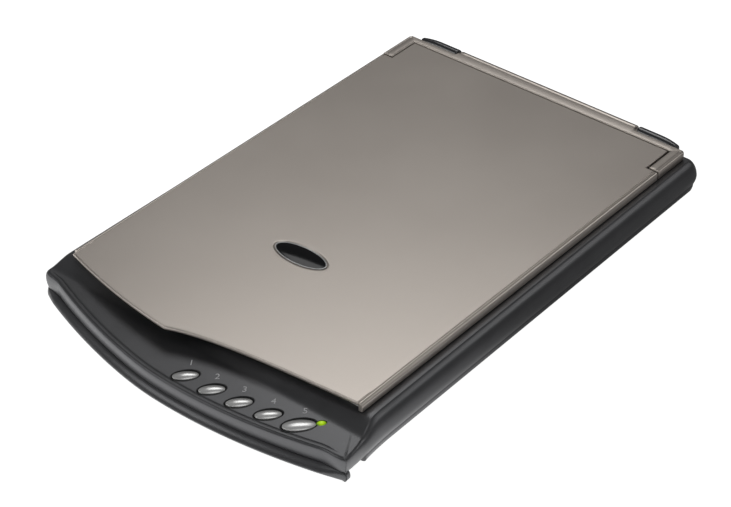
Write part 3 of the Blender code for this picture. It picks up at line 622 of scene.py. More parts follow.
class Finishes:
    """Every material of the object, made once."""

    def __init__(self, led: tuple[float, float]) -> None:
        """Make the materials; the lens needs the place of the status light."""
        self.paint = SatinPaint().make()
        self.charcoal = Moulded(
            "charcoal_moulding", (0.082, 0.083, 0.088), roughness=0.34, metallic=0.5, specular=0.95,
            coat=0.25, coat_roughness=0.30, tone_swing=0.10, grain_mm=0.45, grain_depth_mm=0.006).make()
        self.gloss_charcoal = Moulded(
            "glossy_charcoal", (0.030, 0.031, 0.036), roughness=0.22, specular=0.8, coat=0.4,
            coat_roughness=0.12, grain_depth_mm=0.002).make()
        self.black = Moulded(
            "black_moulding", (0.014, 0.014, 0.015), roughness=0.48, grain_depth_mm=0.012).make()
        self.badge = Moulded(
            "badge_gloss_black", (0.006, 0.006, 0.007), roughness=0.10, specular=0.25, gloss_swing=0.03,
            grain_mm=3.0, grain_depth_mm=0.003).make()
        self.rubber = Moulded(
            "black_rubber", (0.018, 0.018, 0.018), roughness=0.78, specular=0.3, grain_mm=0.35,
            grain_depth_mm=0.03).make()
        self.steel = Metal("drawn_steel", (0.66, 0.66, 0.67)).make()
        self.pin_steel = Metal("turned_steel", (0.80, 0.79, 0.77), 0.2, (0.04, 1.0, 1.0)).make()
        self.brass = Metal("pinion_brass", (0.80, 0.58, 0.26), 0.3, (1.0, 1.0, 0.1)).make()
        self.glass = ClearGlass().make()
        self.sheet = Moulded(
            "white_sheet", (0.80, 0.80, 0.78), roughness=0.55, tone_swing=0.03, grain_mm=0.6,
            grain_depth_mm=0.01).make()
        self.foam = Foam("grey_foam", (0.30, 0.30, 0.31)).make()
        self.white = Moulded("white_moulding", (0.74, 0.73, 0.69), roughness=0.42, tone_swing=0.05).make()
        self.silver = Moulded(
            "silver_satin", (0.84, 0.84, 0.83), roughness=0.26, metallic=0.55, coat=0.2,
            coat_roughness=0.15, tone_swing=0.05, grain_mm=0.2, grain_depth_mm=0.003).make()
        self.lens = GlowLens(centre=led).make()
        self.board = CircuitBoard().make()
        self.ink = Ink("pale_ink", (0.86, 0.86, 0.87)).make()

    def for_slot(self, slot: str) -> bpy.types.Material:
        """Material of the frame nodes that keep their own shape, by the record's slot."""
        return {
            "champagne_paint": self.paint, "charcoal_plastic": self.charcoal, "black_plastic": self.black,
            "badge_black": self.badge, "black_rubber": self.rubber, "bright_steel": self.steel,
            "pinion_brass": self.brass, "clear_glass": self.glass, "white_sheet": self.sheet,
            "grey_foam": self.foam, "white_plastic": self.white, "silver_button": self.silver,
            "green_lens": self.lens, "board_green": self.board,
        }[slot]


# ---------------------------------------------------------------- housing


@dataclass
class Housing:
    """Upper and lower housing, built from one plan outline and three wall sections."""

    finishes: Finishes
    half_rear: float = 125.5
    growth: float = 2.5
    flare: float = 2.6
    flare_start: float = -132.0
    flare_end: float = -176.0
    bow_x: float = 8.0
    bow_span: float = 840.0
    rear_radius: float = 9.0
    corner_reach: float = 0.75
    left_reach: float = 6.0
    left_fall: float = 0.08
    left_fall_start: float = -14.0
    left_fall_ease: float = 15.0
    platen_z: float = 25.4
    scoop_start: float = 2.5
    scoop_reach: float = 17.0
    scoop_depth: float = 4.6
    fall_reach: float = 62.0
    fall_depth: float = 3.335
    wall: float = 2.0
    rear_extra: float = 4.0
    trough_half: float = 112.5
    trough_front: float = 9.4
    trough_floor: float = 22.5
    socket_x: tuple[float, float] = (-101.6, -88.4)
    socket_y: float = 186.0
    socket_z: tuple[float, float] = (7.0, 18.4)
    screw_hole: float = 2.7
    well_room: float = 1.1
    light_room: float = 0.5
    front_count: int = 300
    window_half: float = 108.0
    window_front: float = -140.5
    window_rear: float = 156.5
    pocket_half: float = 115.0
    pocket_long: float = 156.0
    pocket_z: float = 24.4
    side_wall: tuple = ((1.5, 8.25), (0.6, 10.5), (0.0, 14.0), (0.9, 18.5), (2.9, 22.4), (5.4, 24.7),
                        (6.4, 25.3))
    front_wall: tuple = ((4.5, 8.25), (4.1, 10.0), (3.7, 13.0), (3.6, 15.2), (4.0, 16.9), (4.9, 17.8),
                         (6.2, 18.0))
    corner_wall: tuple = ((1.7, 8.25), (1.1, 10.0), (0.6, 13.0), (0.5, 15.5), (0.9, 17.0), (1.7, 17.8),
                          (2.9, 18.1))

    def __post_init__(self) -> None:
        """Read the places of the frame that the outline hangs on."""
        top, bottom, floor = Extent.of("top_shell"), Extent.of("bottom_shell"), Extent.of("foot_1")
        self.rear_y = top.high[1]
        apex = self.left_fall_start - self.bow_x
        rise = 0.5 * self.left_fall * (apex + math.hypot(apex, self.left_fall_ease))
        self.bow_y = bottom.low[1] + 0.05 - rise
        self.tray_z = floor.high[2] + 0.3
        self.outer, self.window, self.corners = self.outline()

    def half_width(self, y: np.ndarray, side: float = 1.0) -> np.ndarray:
        """Half-width at a depth: even growth towards the front, and a flare at the right front corner."""
        grown = self.growth * np.clip((190.0 - np.asarray(y)) / 320.0, 0.0, 1.0)
        flare = self.flare * smooth(self.flare_start, self.flare_end, y)
        return self.half_rear + grown + (side > 0.0) * flare

    def front(self, x: np.ndarray) -> np.ndarray:
        """Front edge: a parabola, nearest just right of the middle, that falls away faster on the left."""
        left = self.left_fall_start - np.asarray(x)
        fall = 0.5 * self.left_fall * (left + np.hypot(left, self.left_fall_ease))
        return self.bow_y + (np.asarray(x) - self.bow_x) ** 2 / self.bow_span + fall

    def eased_left_corner(self, outer: np.ndarray) -> np.ndarray:
        """Move the points near the outline's first corner onto a parabola between the ends of its reach."""
        corner, reach = outer[0], self.left_reach
        away = np.linalg.norm(outer - corner, axis=1)
        along = np.where(np.arange(len(outer)) < len(outer) // 2, away, -away)
        ahead = corner + (outer[1] - corner) / away[1] * reach
        back = corner + (outer[-1] - corner) / away[-1] * reach
        t = (0.5 + 0.5 * along / reach)[:, None]
        eased = back * (1.0 - t) ** 2 + 2.0 * corner * t * (1.0 - t) + ahead * t ** 2
        return np.where((away < reach)[:, None], eased, outer)

    def outline(self) -> tuple[np.ndarray, np.ndarray, list[int]]:
        """Draw the widest outline in plan, anticlockwise from the left front corner.

        Returns:
            The outline, the window point that belongs to each of its points, and its sharp corners.
        """
        corner, left_corner = (float(self.half_width(self.flare_end, side)) for side in (1.0, -1.0))
        t = np.linspace(-1.0, 1.0, self.front_count + 1)[:-1]
        x = t * np.where(t < 0.0, left_corner, corner)
        front = np.stack((x, self.front(x)), axis=1)
        front_window = np.stack((self.window_half * t, np.full_like(t, self.window_front)), axis=1)
        top = self.rear_y - self.rear_radius
        sides = []
        for side in (1.0, -1.0):
            start = float(self.front(corner if side > 0.0 else -left_corner))
            y = np.concatenate((np.arange(start, -150.0, 0.75), np.linspace(-150.0, top, 86)[:-1]))
            share = (y - start) / (top - start)
            window_y = self.window_front + (self.window_rear - self.window_front) * share
            sides.append((np.stack((side * self.half_width(y, side), y), axis=1),
                          np.stack((np.full_like(y, side * self.window_half), window_y), axis=1)))
        angle = np.radians(np.linspace(0.0, 90.0, 10))
        r, half = self.rear_radius, self.half_rear
        arc = np.stack((half - r + r * np.cos(angle), top + r * np.sin(angle)), axis=1)
        line = np.linspace(half - r, r - half, 52)[1:-1]
        rear = np.concatenate((arc, np.stack((line, np.full_like(line, self.rear_y)), axis=1),
                               arc[::-1] * (-1.0, 1.0)))
        across = np.linspace(self.window_half, -self.window_half, len(rear))
        rear_window = np.stack((across, np.full_like(across, self.window_rear)), axis=1)
        left, left_window = sides[1][0][1:][::-1], sides[1][1][1:][::-1]
        outer = self.eased_left_corner(np.concatenate((front, sides[0][0], rear, left)))
        window = np.concatenate((front_window, sides[0][1], rear_window, left_window))
        return outer, window, [len(front)]

    def ring(self, flat: np.ndarray, height: np.ndarray | float) -> np.ndarray:
        """Plan points at a height, with the front corners rounded."""
        return rounded(raised(flat, height), self.corners, self.corner_reach)

    def deck(self, y: np.ndarray) -> np.ndarray:
        """Height of the top: level beside the pane, a scoop under the lid's edge, then a long fall."""
        ahead = self.window_front - self.scoop_start - np.asarray(y)
        scoop = self.scoop_depth * smooth(0.0, self.scoop_reach, ahead)
        return self.platen_z - scoop - self.fall_depth * smooth(4.0, self.fall_reach, ahead)

    def wall_levels(self) -> np.ndarray:
        """Inset and height of each wall level at each outline point, blended round the front corners.

        The heights are stretched so that the last level meets the deck.
        """
        x, y = self.outer[:, 0], self.outer[:, 1]
        corner = smooth(-140.0, -172.0, y)[:, None]
        front = (smooth(129.0, 112.0, np.abs(x)) * (y < -150.0))[:, None]
        side, edge, bow = (spline(np.array(wall), 3)[:, None, :]
                           for wall in (self.side_wall, self.corner_wall, self.front_wall))
        levels = side * (1.0 - corner) + edge * corner
        levels = levels * (1.0 - front) + bow * front
        crease = inset(self.outer, levels[-1, :, 0])
        foot = levels[0, :, 1]
        grow = (self.deck(crease[:, 1]) - foot) / (levels[-1, :, 1] - foot)
        levels[:, :, 1] = foot + (levels[:, :, 1] - foot) * grow
        return levels

    def thicker(self, y: np.ndarray) -> np.ndarray:
        """Extra thickness under the top at the rear, where the hinge trough is cut."""
        return self.rear_extra * smooth(165.2, 168.5, y)

    def top_rings(self) -> np.ndarray:
        """Rings of the upper housing, from the seam over the deck to the window and back underneath."""
        levels = self.wall_levels()
        y = self.outer[:, 1]
        front = smooth(126.0, 112.0, np.abs(self.outer[:, 0])) * (y < -150.0)
        rings = [self.ring(inset(self.outer, levels[0, :, 0] + 0.35), levels[0, :, 1] + 0.05)]
        rings += [self.ring(inset(self.outer, level[:, 0]), level[:, 1]) for level in levels]
        crease, crease_z = inset(self.outer, levels[-1, :, 0]), levels[-1, :, 1]
        run = self.window - crease
        reach = np.linalg.norm(run, axis=1)
        groove = ((0.35, 0.03), (0.7, 0.24), (1.0, 0.34), (1.35, 0.22), (1.7, 0.02), (2.1, 0.0))
        for near, drop in groove:
            flat = crease + run * (near / reach)[:, None]
            rings.append(self.ring(flat, self.deck(flat[:, 1]) - drop * front))
        for t in np.linspace(0.0, 1.0, 47)[1:]:
            share = 2.2 / reach * (1.0 - t) + t
            flat = crease + run * share[:, None]
            rings.append(self.ring(flat, self.deck(flat[:, 1]) - 0.3 * (t == 1.0)))
        centre = np.array([0.0, 0.5 * (self.window_front + self.window_rear)])
        half = np.array([self.window_half, 0.5 * (self.window_rear - self.window_front)])
        pocket = centre + (self.window - centre) * (self.pocket_half, self.pocket_long) / half
        rings += [self.ring(self.window, self.pocket_z), self.ring(pocket, self.pocket_z)]
        inner = inset(self.outer, levels[-1, :, 0] + 1.8)
        for t in (1.0, 0.9, 0.75, 0.6, 0.45, 0.3, 0.15, 0.0):
            flat = inner + (pocket - inner) * t
            lower = self.wall + self.thicker(flat[:, 1])
            own = crease_z - 0.3 - lower
            under = self.deck(flat[:, 1]) - 0.4 - lower
            mix = smooth(0.0, 0.45, t)
            rings.append(self.ring(flat, own * (1.0 - mix) + under * mix))
        for level in levels[:-1:3][::-1]:
            height = level[:, 1]
            rear = 0.9 * self.thicker(y) * np.clip((height - 18.0) / 6.0, 0.0, 1.0)
            fall = np.where(height > 16.0, 1.6 * (height - 16.0) / 9.0 + rear, 0.0)
            rings.append(self.ring(inset(self.outer, level[:, 0] + self.wall), height - fall))
        return np.array(rings)

    def build_top(self) -> None:
        """Upper housing, with the button wells, hinge trough and socket notch cut out."""
        behind = self.rear_y + 10.0
        tools = [block((-self.trough_half, self.rear_y - self.trough_front, self.trough_floor),
                       (self.trough_half, behind, 40.0)),
                 block((self.socket_x[0], self.socket_y, self.socket_z[0]),
                       (self.socket_x[1], behind, self.socket_z[1]))]
        holes = [(well, self.well_room, 40) for well in Controls.wells()]
        holes.append((Controls.light(), self.light_room, 28))
        for well, room, count in holes:
            flat = oval(well.centre, well.a + room, well.b + room, well.turn, count)
            tools.append(skin("hole", np.array([raised(flat, z) for z in (10.0, 24.0)])))
        mesh = skin("housing_top", self.top_rings(), Ends.JOINED)
        mesh = cut("housing_top", mesh, tools)
        piece(mesh, self.finishes.charcoal, "housing", ("top_shell",), crease=38.0)

    def bottom_rings(self) -> np.ndarray:
        """Rings of the lower housing: bowed chin, a notch behind the right front corner, floor inside."""
        x, y = self.outer[:, 0], self.outer[:, 1]
        corner = smooth(-150.0, -174.0, y)
        front = smooth(129.0, 112.0, np.abs(x)) * (y < -150.0)
        notch = 9.5 * smooth(-173.2, -170.6, y) * smooth(-156.6, -157.8, y) * (x > 120.0)

        def spread(side: float, edge: float, bow: float) -> np.ndarray:
            """Inset at every point from its value on the side, at the corner and along the bow."""
            return (side * (1.0 - corner) + edge * corner) * (1.0 - front) + bow * front + notch

        sections = ((5.5, 3.4, 4.6, 0.0), (4.2, 2.1, 2.4, 0.25), (3.2, 1.2, 1.0, 0.7), (2.5, 0.8, 0.25, 1.4),
                    (2.2, 0.6, 0.0, 2.4), (1.9, 0.6, 0.5, 3.5), (1.7, 0.9, 1.8, 4.8), (1.7, 1.3, 3.1, 5.7),
                    (1.8, 1.7, 4.0, 6.15), (2.1, 2.1, 4.6, 6.3), (3.9, 4.4, 7.0, 6.3), (4.2, 4.4, 6.6, 3.7),
                    (6.5, 5.4, 6.6, 2.0))
        return np.array([self.ring(inset(self.outer, spread(*shares)), self.tray_z + height)
                         for *shares, height in sections])

    def build_bottom(self) -> None:
        """Lower housing with its screw holes."""
        mesh = skin("housing_bottom", self.bottom_rings())
        tools = []
        for k in range(1, 5):
            screw = Extent.of(f"case_screw_{k}").middle
            flat = oval((screw[0], screw[1]), self.screw_hole, self.screw_hole, 0.0, 32)
            tools.append(skin("screw hole", np.array([raised(flat, z) for z in (0.5, 6.0)])))
        mesh = cut("housing_bottom", mesh, tools)
        piece(mesh, self.finishes.charcoal, "housing", ("bottom_shell",))

    def build(self) -> None:
        """Build both halves."""
        self.build_top()
        self.build_bottom()


# ---------------------------------------------------------------- controls


@dataclass(frozen=True)
class Well:
    """Turned oval place on the deck."""

    centre: tuple[float, float]
    a: float
    b: float
    turn: float = math.radians(46.0)


@dataclass
class Controls:
    """Five domed buttons, each in a black ring whose colour is painted shade of the recess round it, their
    numerals and the status light.
    """

    finishes: Finishes
    housing: Housing
    numeral_mm: float = 6.4
    numeral_turn: float = math.radians(34.0)
    numeral_left: float = 4.5
    numeral_back: float = 6.0
    ink_lift: float = 0.045

    @staticmethod
    def wells() -> list[Well]:
        """Place and half-axes of each button, from the frame's boxes."""
        found = []
        for k in range(1, 6):
            box = Extent.of(f"button_{k}")
            long_half, short_half = (9.8, 4.7) if k == 5 else (7.9, 3.8)
            found.append(Well((box.middle[0], box.middle[1]), long_half, short_half))
        return found

    @staticmethod
    def light() -> Well:
        """Place and half-axes of the status light."""
        middle = Extent.of("status_led").middle
        return Well((middle[0], middle[1]), 2.9, 1.75)

    def bezel(self, index: int, well: Well) -> None:
        """Ring that lines a well and stands a little above the deck; the well is modelled, and the ring's
        black colour is painted shade of the recess round the button.

        The ring's section is carried round the oval: down the well, over a rounded rim, and back outside.
        """
        section = ((0.55, -4.2), (0.55, -0.7), (0.62, -0.28), (0.82, -0.02), (1.08, 0.07), (1.36, 0.02),
                   (1.52, -0.16), (1.56, -0.5), (1.0, -0.6), (1.0, -4.2))
        rings = []
        for out, rise in section:
            flat = oval(well.centre, well.a + out, well.b + out, well.turn, 72)
            rings.append(raised(flat, self.housing.deck(flat[:, 1]) + rise))
        mesh = skin(f"button_bezel_{index}", np.array(rings), Ends.JOINED, turn_out=True)
        # The black finish paints the shade of the recess round the button.
        piece(mesh, self.finishes.black, "housing")

    def button(self, index: int, well: Well) -> None:
        """Silver button: straight skirt, tight edge and a crowned top.

        The crown rises with one minus the radius share to the power 2.2.
        """
        top = Extent.of(f"button_{index}").high[2]
        share = np.linspace(0.0, 1.0, 18)[::-1]
        crown = 1.05 * (1.0 - share ** 2.2)
        skirt = [(0.35, -5.0), (0.35, -2.6), (0.97, -2.4), (1.0, -2.2), (1.0, -1.32), (0.988, -1.16),
                 (0.965, -1.06)]
        levels = skirt + [(0.965 * s, -1.05 + c) for s, c in zip(share[1:-1], crown[1:-1])] + [(0.01, 0.0)]
        rings = [raised(oval(well.centre, well.a * s, well.b * s, well.turn, 64), top + z)
                 for s, z in levels]
        mesh = skin(f"button_cap_{index}", np.array(rings))
        piece(mesh, self.finishes.silver, f"key_{index}", (f"button_{index}",))

    def lens(self) -> None:
        """Status light: a small domed lens, its crown half an ellipsoid."""
        well = self.light()
        box = Extent.of("status_led")
        angle = np.radians(np.linspace(0.0, 88.0, 12))
        levels = [(0.8, box.low[2]), (0.8, box.high[2] - 2.2), (1.0, box.high[2] - 2.0)]
        levels += [(math.cos(a), box.high[2] - 1.3 + 1.3 * math.sin(a)) for a in angle]
        rings = [raised(oval(well.centre, well.a * s, well.b * s, well.turn, 40), z) for s, z in levels]
        mesh = skin("status_lens", np.array(rings))
        piece(mesh, self.finishes.lens, "housing", ("status_led",))

    def numeral(self, index: int, well: Well) -> None:
        """Printed numeral behind a button, laid on the deck's curve."""
        text = bpy.data.curves.new(f"numeral_{index}", "FONT")
        text.body, text.size, text.extrude = str(index), self.numeral_mm * MM, 0.02 * MM
        text.align_x, text.align_y = "CENTER", "CENTER"
        holder = bpy.data.objects.new(text.name, text)
        bpy.context.scene.collection.objects.link(holder)
        bpy.context.view_layer.update()
        graph = bpy.context.evaluated_depsgraph_get()
        mesh = bpy.data.meshes.new_from_object(holder.evaluated_get(graph))
        bpy.data.objects.remove(holder)
        mesh.name = f"numeral_{index}"
        flat = np.zeros(len(mesh.vertices) * 3)
        mesh.vertices.foreach_get("co", flat)
        flat = flat.reshape(-1, 3) / MM
        along, across = math.cos(self.numeral_turn), math.sin(self.numeral_turn)
        x = well.centre[0] - self.numeral_left + flat[:, 0] * along - flat[:, 1] * across
        y = well.centre[1] + well.b + self.numeral_back + flat[:, 0] * across + flat[:, 1] * along
        z = self.housing.deck(y) + self.ink_lift + flat[:, 2]
        mesh.vertices.foreach_set("co", (np.stack((x, y, z), axis=1) * MM).ravel())
        mesh.update()
        piece(mesh, self.finishes.ink, "housing", crease=30.0)

    def build(self) -> None:
        """Build the row of controls."""
        for index, well in enumerate(self.wells(), start=1):
            self.bezel(index, well)
            self.button(index, well)
            self.numeral(index, well)
        self.lens()


# ---------------------------------------------------------------- lid


@dataclass
class Lid:
    """Thin painted lid with rolled side rails, a bare front edge and the oval badge."""

    finishes: Finishes
    kink_x: float = -19.6
    left_slope: float = 0.065
    left_growth: float = 0.0012
    right_slope: float = 0.078
    right_rise: float = 10.0
    right_reach: float = 30.0
    tongue_half: float = 106.8
    notch_y: float = 154.4
    sheet: float = 2.0
    rail: float = 3.1
    spacing: float = 3.0

    def __post_init__(self) -> None:
        """Read the lid's place."""
        box = Extent.of("lid_cover")
        self.half = box.high[0] - 0.02
        self.front_y, self.rear_y = box.low[1], box.high[1]
        self.under, self.top = box.low[2], box.high[2]
        badge = Extent.of("badge")
        self.badge_at = (badge.middle[0], badge.middle[1])
        self.badge_a, self.badge_b = 0.5 * (badge.high - badge.low)[:2]
        self.badge_top = badge.high[2]

    def front(self, x: np.ndarray) -> np.ndarray:
        """Front edge, nearest at the kink: a growing slope on its left, an easing rise on its right."""
        away = x - self.kink_x
        left = self.left_slope * -away + self.left_growth * away ** 2
        quick = self.right_rise * (1.0 - np.exp(-np.maximum(away, 0.0) / self.right_reach))
        right = quick + self.right_slope * away
        return self.front_y + 0.02 + np.where(away < 0.0, left, right)

    def outline(self) -> np.ndarray:
        """Plan of the sheet, which stops a little inside the rails."""
        half, t = self.half - self.rail + 0.1, self.tongue_half
        x = np.concatenate((np.linspace(-half, self.kink_x, 44)[:-1],
                            np.linspace(self.kink_x, half, 60)))
        front = np.stack((x, self.front(x)), axis=1)
        rest = np.array([(half, self.notch_y), (t, self.notch_y), (t, self.rear_y), (-t, self.rear_y),
                         (-t, self.notch_y), (-half, self.notch_y)])
        corners = np.vstack((front[-1], rest, front[0]))
        sides = []
        for start, end in zip(corners[:-1], corners[1:]):
            count = max(int(np.linalg.norm(end - start) / self.spacing), 1)
            sides.append(start + (end - start) * np.linspace(0.0, 1.0, count + 1)[:-1, None])
        return np.concatenate((front, np.concatenate(sides)[1:]))

    def oval_ring(self, outer: np.ndarray, a: float, b: float, height: float) -> np.ndarray:
        """Oval round the badge with one point on the ray to each outer point."""
        away = outer[:, :2] - self.badge_at
        angle = np.arctan2(away[:, 1], away[:, 0])
        radius = a * b / np.hypot(b * np.cos(angle), a * np.sin(angle))
        flat = np.stack((np.cos(angle), np.sin(angle)), axis=1) * radius[:, None] + self.badge_at
        return raised(flat, height)

    def sheet_mesh(self) -> bpy.types.Mesh:
        """Sheet: from the inside middle out to the edge, over it, and in again to the badge's dish.

        A fine groove runs just inside the bare front edge.
        """
        outline, low, top = self.outline(), self.top - self.sheet, self.top
        bare = smooth(self.front_y + 34.0, self.front_y + 28.0, outline[:, 1])
        edge = ((1.2, low), (0.3, low), (0.08, low + 0.08), (0.0, low + 0.3), (0.0, top - 0.62),
                (0.04, top - 0.4), (0.14, top - 0.2), (0.3, top - 0.06))
        groove = ((0.46, 0.01), (0.58, 0.03), (0.70, 0.2), (0.84, 0.22), (0.96, 0.05), (1.08, 0.0),
                  (1.3, 0.0))
        edges = [raised(inset(outline, d), z) for d, z in edge]
        edges += [raised(inset(outline, d), top - drop * bare) for d, drop in groove]
        under = [self.oval_ring(edges[0], a, 0.5 * a, low) for a in (0.1, 20.0)]
        a, b = self.badge_a, self.badge_b
        rim = [(a + out, b + out, -drop) for out, drop in ((2.6, 0.0), (1.3, 0.0), (1.1, 0.02), (0.9, 0.1),
                                                           (0.65, 0.32), (0.4, 0.55), (0.1, 0.62))]
        rim += [(12.0, 6.0, -0.62), (0.08, 0.04, -0.62)]
        dish = [self.oval_ring(edges[-1], a, b, top + z) for a, b, z in rim]
        return skin("sheet", np.array(under + edges + dish))

    def rail_mesh(self, side: float) -> bpy.types.Mesh:
        """Rolled rail on one side: a rounded bar section carried along Y, shrinking a little at both ends."""
        w, h = self.rail, self.top - self.under
        section = np.array((
            (0.35, 0.0), (0.1, 0.1), (0.0, 0.4), (0.0, h - 0.7), (0.06, h - 0.42), (0.2, h - 0.2),
            (0.42, h - 0.05), (0.72, h), (1.1, h - 0.03), (1.55, h - 0.14), (2.0, h - 0.38), (2.4, h - 0.72),
            (2.72, h - 1.16), (2.95, h - 1.7), (3.07, h - 2.3), (w, h - 3.0), (w, 0.7), (w - 0.06, 0.35),
            (w - 0.25, 0.1), (w - 0.55, 0.0)))
        start, end = float(self.front(np.array(self.half - 1.5))) + 0.25, self.notch_y
        ends = ((0.0, 0.45), (0.1, 0.22), (0.3, 0.06), (0.6, 0.0))
        stations = [(start + d, e) for d, e in ends]
        stations += [(y, 0.0) for y in np.linspace(start + 3.0, end - 3.0, 60)]
        stations += [(end - d, e) for d, e in reversed(ends)]
        rings = []
        for y, e in stations:
            x = np.clip(section[:, 0], e, w - e) + self.half - w
            z = np.clip(section[:, 1], e, h - e) + self.under
            rings.append(np.stack((side * x, np.full_like(x, y), z), axis=1))
        return skin("rail", np.array(rings), turn_out=True)

    def build_cover(self) -> None:
        """Sheet and both rails as one piece."""
        mesh = joined("lid_sheet", [self.sheet_mesh(), self.rail_mesh(1.0), self.rail_mesh(-1.0)])
        piece(mesh, self.finishes.paint, "lid", ("lid_cover",), crease=42.0)

    def build_badge(self) -> None:
        """Glossy black domed oval in a thin silver rim, a painted highlight of the light edge of its recess;
        it carries no lettering.
        """
        top = self.badge_top
        share = np.linspace(1.0, 0.01, 22)
        base = self.top - 0.55
        levels = [(0.95, base), (0.975, base + 0.05)]
        levels += [(0.975 * s, top - 0.02 - 0.62 * s ** 2.0) for s in share]
        rings = [raised(oval(self.badge_at, self.badge_a * s, self.badge_b * s, 0.0, 96), z)
                 for s, z in levels]
        piece(skin("badge_dome", np.array(rings)), self.finishes.badge, "lid", ("badge",))
        # The silver rim is a painted highlight: it stands for the light that the edge of the badge's recess
        # catches.
        angle = np.radians(np.linspace(0.0, 360.0, 17)[:-1])
        section = [(0.42 + 0.4 * math.cos(a), base + 0.34 + 0.3 * math.sin(a)) for a in angle]
        rings = [raised(oval(self.badge_at, self.badge_a - d, self.badge_b - d, 0.0, 96), z)
                 for d, z in section]
        mesh = skin("badge_highlight_rim", np.array(rings), Ends.JOINED, turn_out=True)
        piece(mesh, self.finishes.silver, "lid")

    def build(self) -> None:
        """Build the cover and its badge."""
        self.build_cover()
        self.build_badge()


# ---------------------------------------------------------------- hinge


@dataclass
class Hinge:
    """U-shaped painted bracket with its barrel, and the two dark knuckles of the housing."""

    finishes: Finishes
    arm_half: float = 108.0
    strip_front: float = 181.1
    strip_rear: float = 187.0
    tab_half: float = 74.4
    tab_rear: float = 189.9
    barrel_half: float = 74.4
    barrel_radius: float = 3.75
    corner_radius: float = 2.4

    def __post_init__(self) -> None:
        """Read the places of the bracket, the knuckles and the pin."""
        box = Extent.of("hinge_bracket")
        self.half, self.front_y = box.high[0] - 0.02, box.low[1]
        self.under, self.top = Extent.of("lid_cover").low[2], box.high[2]
        pin = Extent.of("hinge_pin_left").middle
        self.axis_y, self.axis_z = pin[1], pin[2]
        knuckle = Extent.of("hinge_knuckle_right")
        self.knuckle_x = (knuckle.low[0] + 0.5, knuckle.high[0])
        self.knuckle_foot = knuckle.low[2]
        self.knuckle_radius = knuckle.high[1] - self.axis_y - 0.02

    def stations(self) -> tuple[np.ndarray, np.ndarray, np.ndarray]:
        """Inner points, outer points and end inset along the U, from the left arm's end to the right's."""
        angle = np.radians(np.linspace(0.0, 90.0, 7))
        r, s = self.corner_radius, 0.5
        ends = np.array([(0.0, 0.85), (0.04, 0.5), (0.2, 0.25), (0.5, 0.06), (0.9, 0.0)])
        arm = np.concatenate((self.front_y + ends[:, 0],
                              np.linspace(self.front_y + 3.0, self.strip_front - 1.5, 9)))
        turn = np.stack((np.cos(angle), np.sin(angle)), axis=1)
        inner = [np.stack((np.full_like(arm, self.arm_half), arm), axis=1),
                 np.array((self.arm_half - s, self.strip_front - s)) + s * turn]
        outer = [np.stack((np.full_like(arm, self.half), arm), axis=1),
                 np.array((self.half - r, self.strip_rear - r)) + r * turn]
        x = np.concatenate((np.linspace(105.0, self.tab_half + 1.6, 9),
                            self.tab_half + np.array((1.0, 0.5, 0.1, -0.5)),
                            np.linspace(self.tab_half - 3.0, 0.0, 18)))
        tab = smooth(self.tab_half + 0.8, self.tab_half, x)
        rear = self.strip_rear + (self.tab_rear - self.strip_rear) * tab
        inner.append(np.stack((x, np.full_like(x, self.strip_front)), axis=1))
        outer.append(np.stack((x, rear), axis=1))
        inner, outer = np.concatenate(inner), np.concatenate(outer)
        inset_by = np.concatenate((ends[:, 1], np.zeros(len(inner) - len(ends))))
        mirror = (-1.0, 1.0)
        return (np.concatenate((inner, inner[-2::-1] * mirror)),
                np.concatenate((outer, outer[-2::-1] * mirror)),
                np.concatenate((inset_by, inset_by[-2::-1])))

    def plate(self) -> bpy.types.Mesh:
        """Plate of the bracket: one section carried along the U.

        The section is a flat slab with rounded upper edges. The arms have a small crease near the outer
        side, and the strip between them has none.
        """
        inner, outer, ends = self.stations()
        across = outer - inner
        width = np.linalg.norm(across, axis=1)
        square = np.minimum(np.abs(across).max(axis=1) / width, 1.0)
        across = across / width[:, None]
        h = self.top - self.under
        near = ((0.3, 0.0), (0.0, 0.35), (0.0, h - 1.2), (0.1, h - 0.72), (0.34, h - 0.34), (0.72, h - 0.08),
                (1.1, h))
        creased = ((3.3, h), (2.95, h - 0.08), (2.65, h - 0.22), (2.35, h - 0.24), (2.05, h - 0.12),
                   (1.75, h - 0.02), (1.25, h - 0.1), (0.72, h - 0.36), (0.32, h - 0.75), (0.08, h - 1.25),
                   (0.0, h - 1.75), (0.0, 0.35), (0.3, 0.0))
        plain = ((1.7, h), (1.5, h), (1.35, h), (1.25, h), (1.15, h), (1.05, h - 0.02), (0.85, h - 0.06),
                 (0.55, h - 0.2), (0.28, h - 0.42), (0.1, h - 0.75), (0.0, h - 1.2), (0.0, 0.35), (0.3, 0.0))
        side = (np.abs(outer[:, 0]) > self.half - 0.8) * 1.0
        rings = []
        for w, z in near:
            reach = np.maximum(w / square, ends)
            rings.append(raised(inner + across * reach[:, None], self.under + np.clip(z, ends, h - ends)))
        for (w, z), (plain_w, plain_z) in zip(creased, plain):
            reach = np.clip((w * side + plain_w * (1.0 - side)) / square, ends, width)
            height = np.clip(z * side + plain_z * (1.0 - side), ends, h - ends)
            rings.append(raised(outer - across * reach[:, None], self.under + height))
        return skin("hinge_bracket_plate", np.array(rings).transpose(1, 0, 2), turn_out=True)

    def barrel(self) -> bpy.types.Mesh:
        """Barrel behind the plate: a round bar along the axis with softened ends."""
        shares = ((0.0, 0.80), (0.12, 0.90), (0.4, 0.97), (0.9, 1.0))
        ends = [(self.barrel_half - d, k) for d, k in shares]
        stations = [(-x, k) for x, k in ends] + [(x, 1.0) for x in np.linspace(-70.0, 70.0, 15)] + ends[::-1]
        angle = np.radians(np.arange(0.0, 360.0, 9.0))
        round_y, round_z = self.barrel_radius * np.cos(angle), self.barrel_radius * np.sin(angle)
        rings = [np.stack((np.full_like(angle, x), self.axis_y + k * round_y, self.axis_z + k * round_z),
                          axis=1) for x, k in stations]
        return skin("barrel", np.array(rings), turn_out=True)

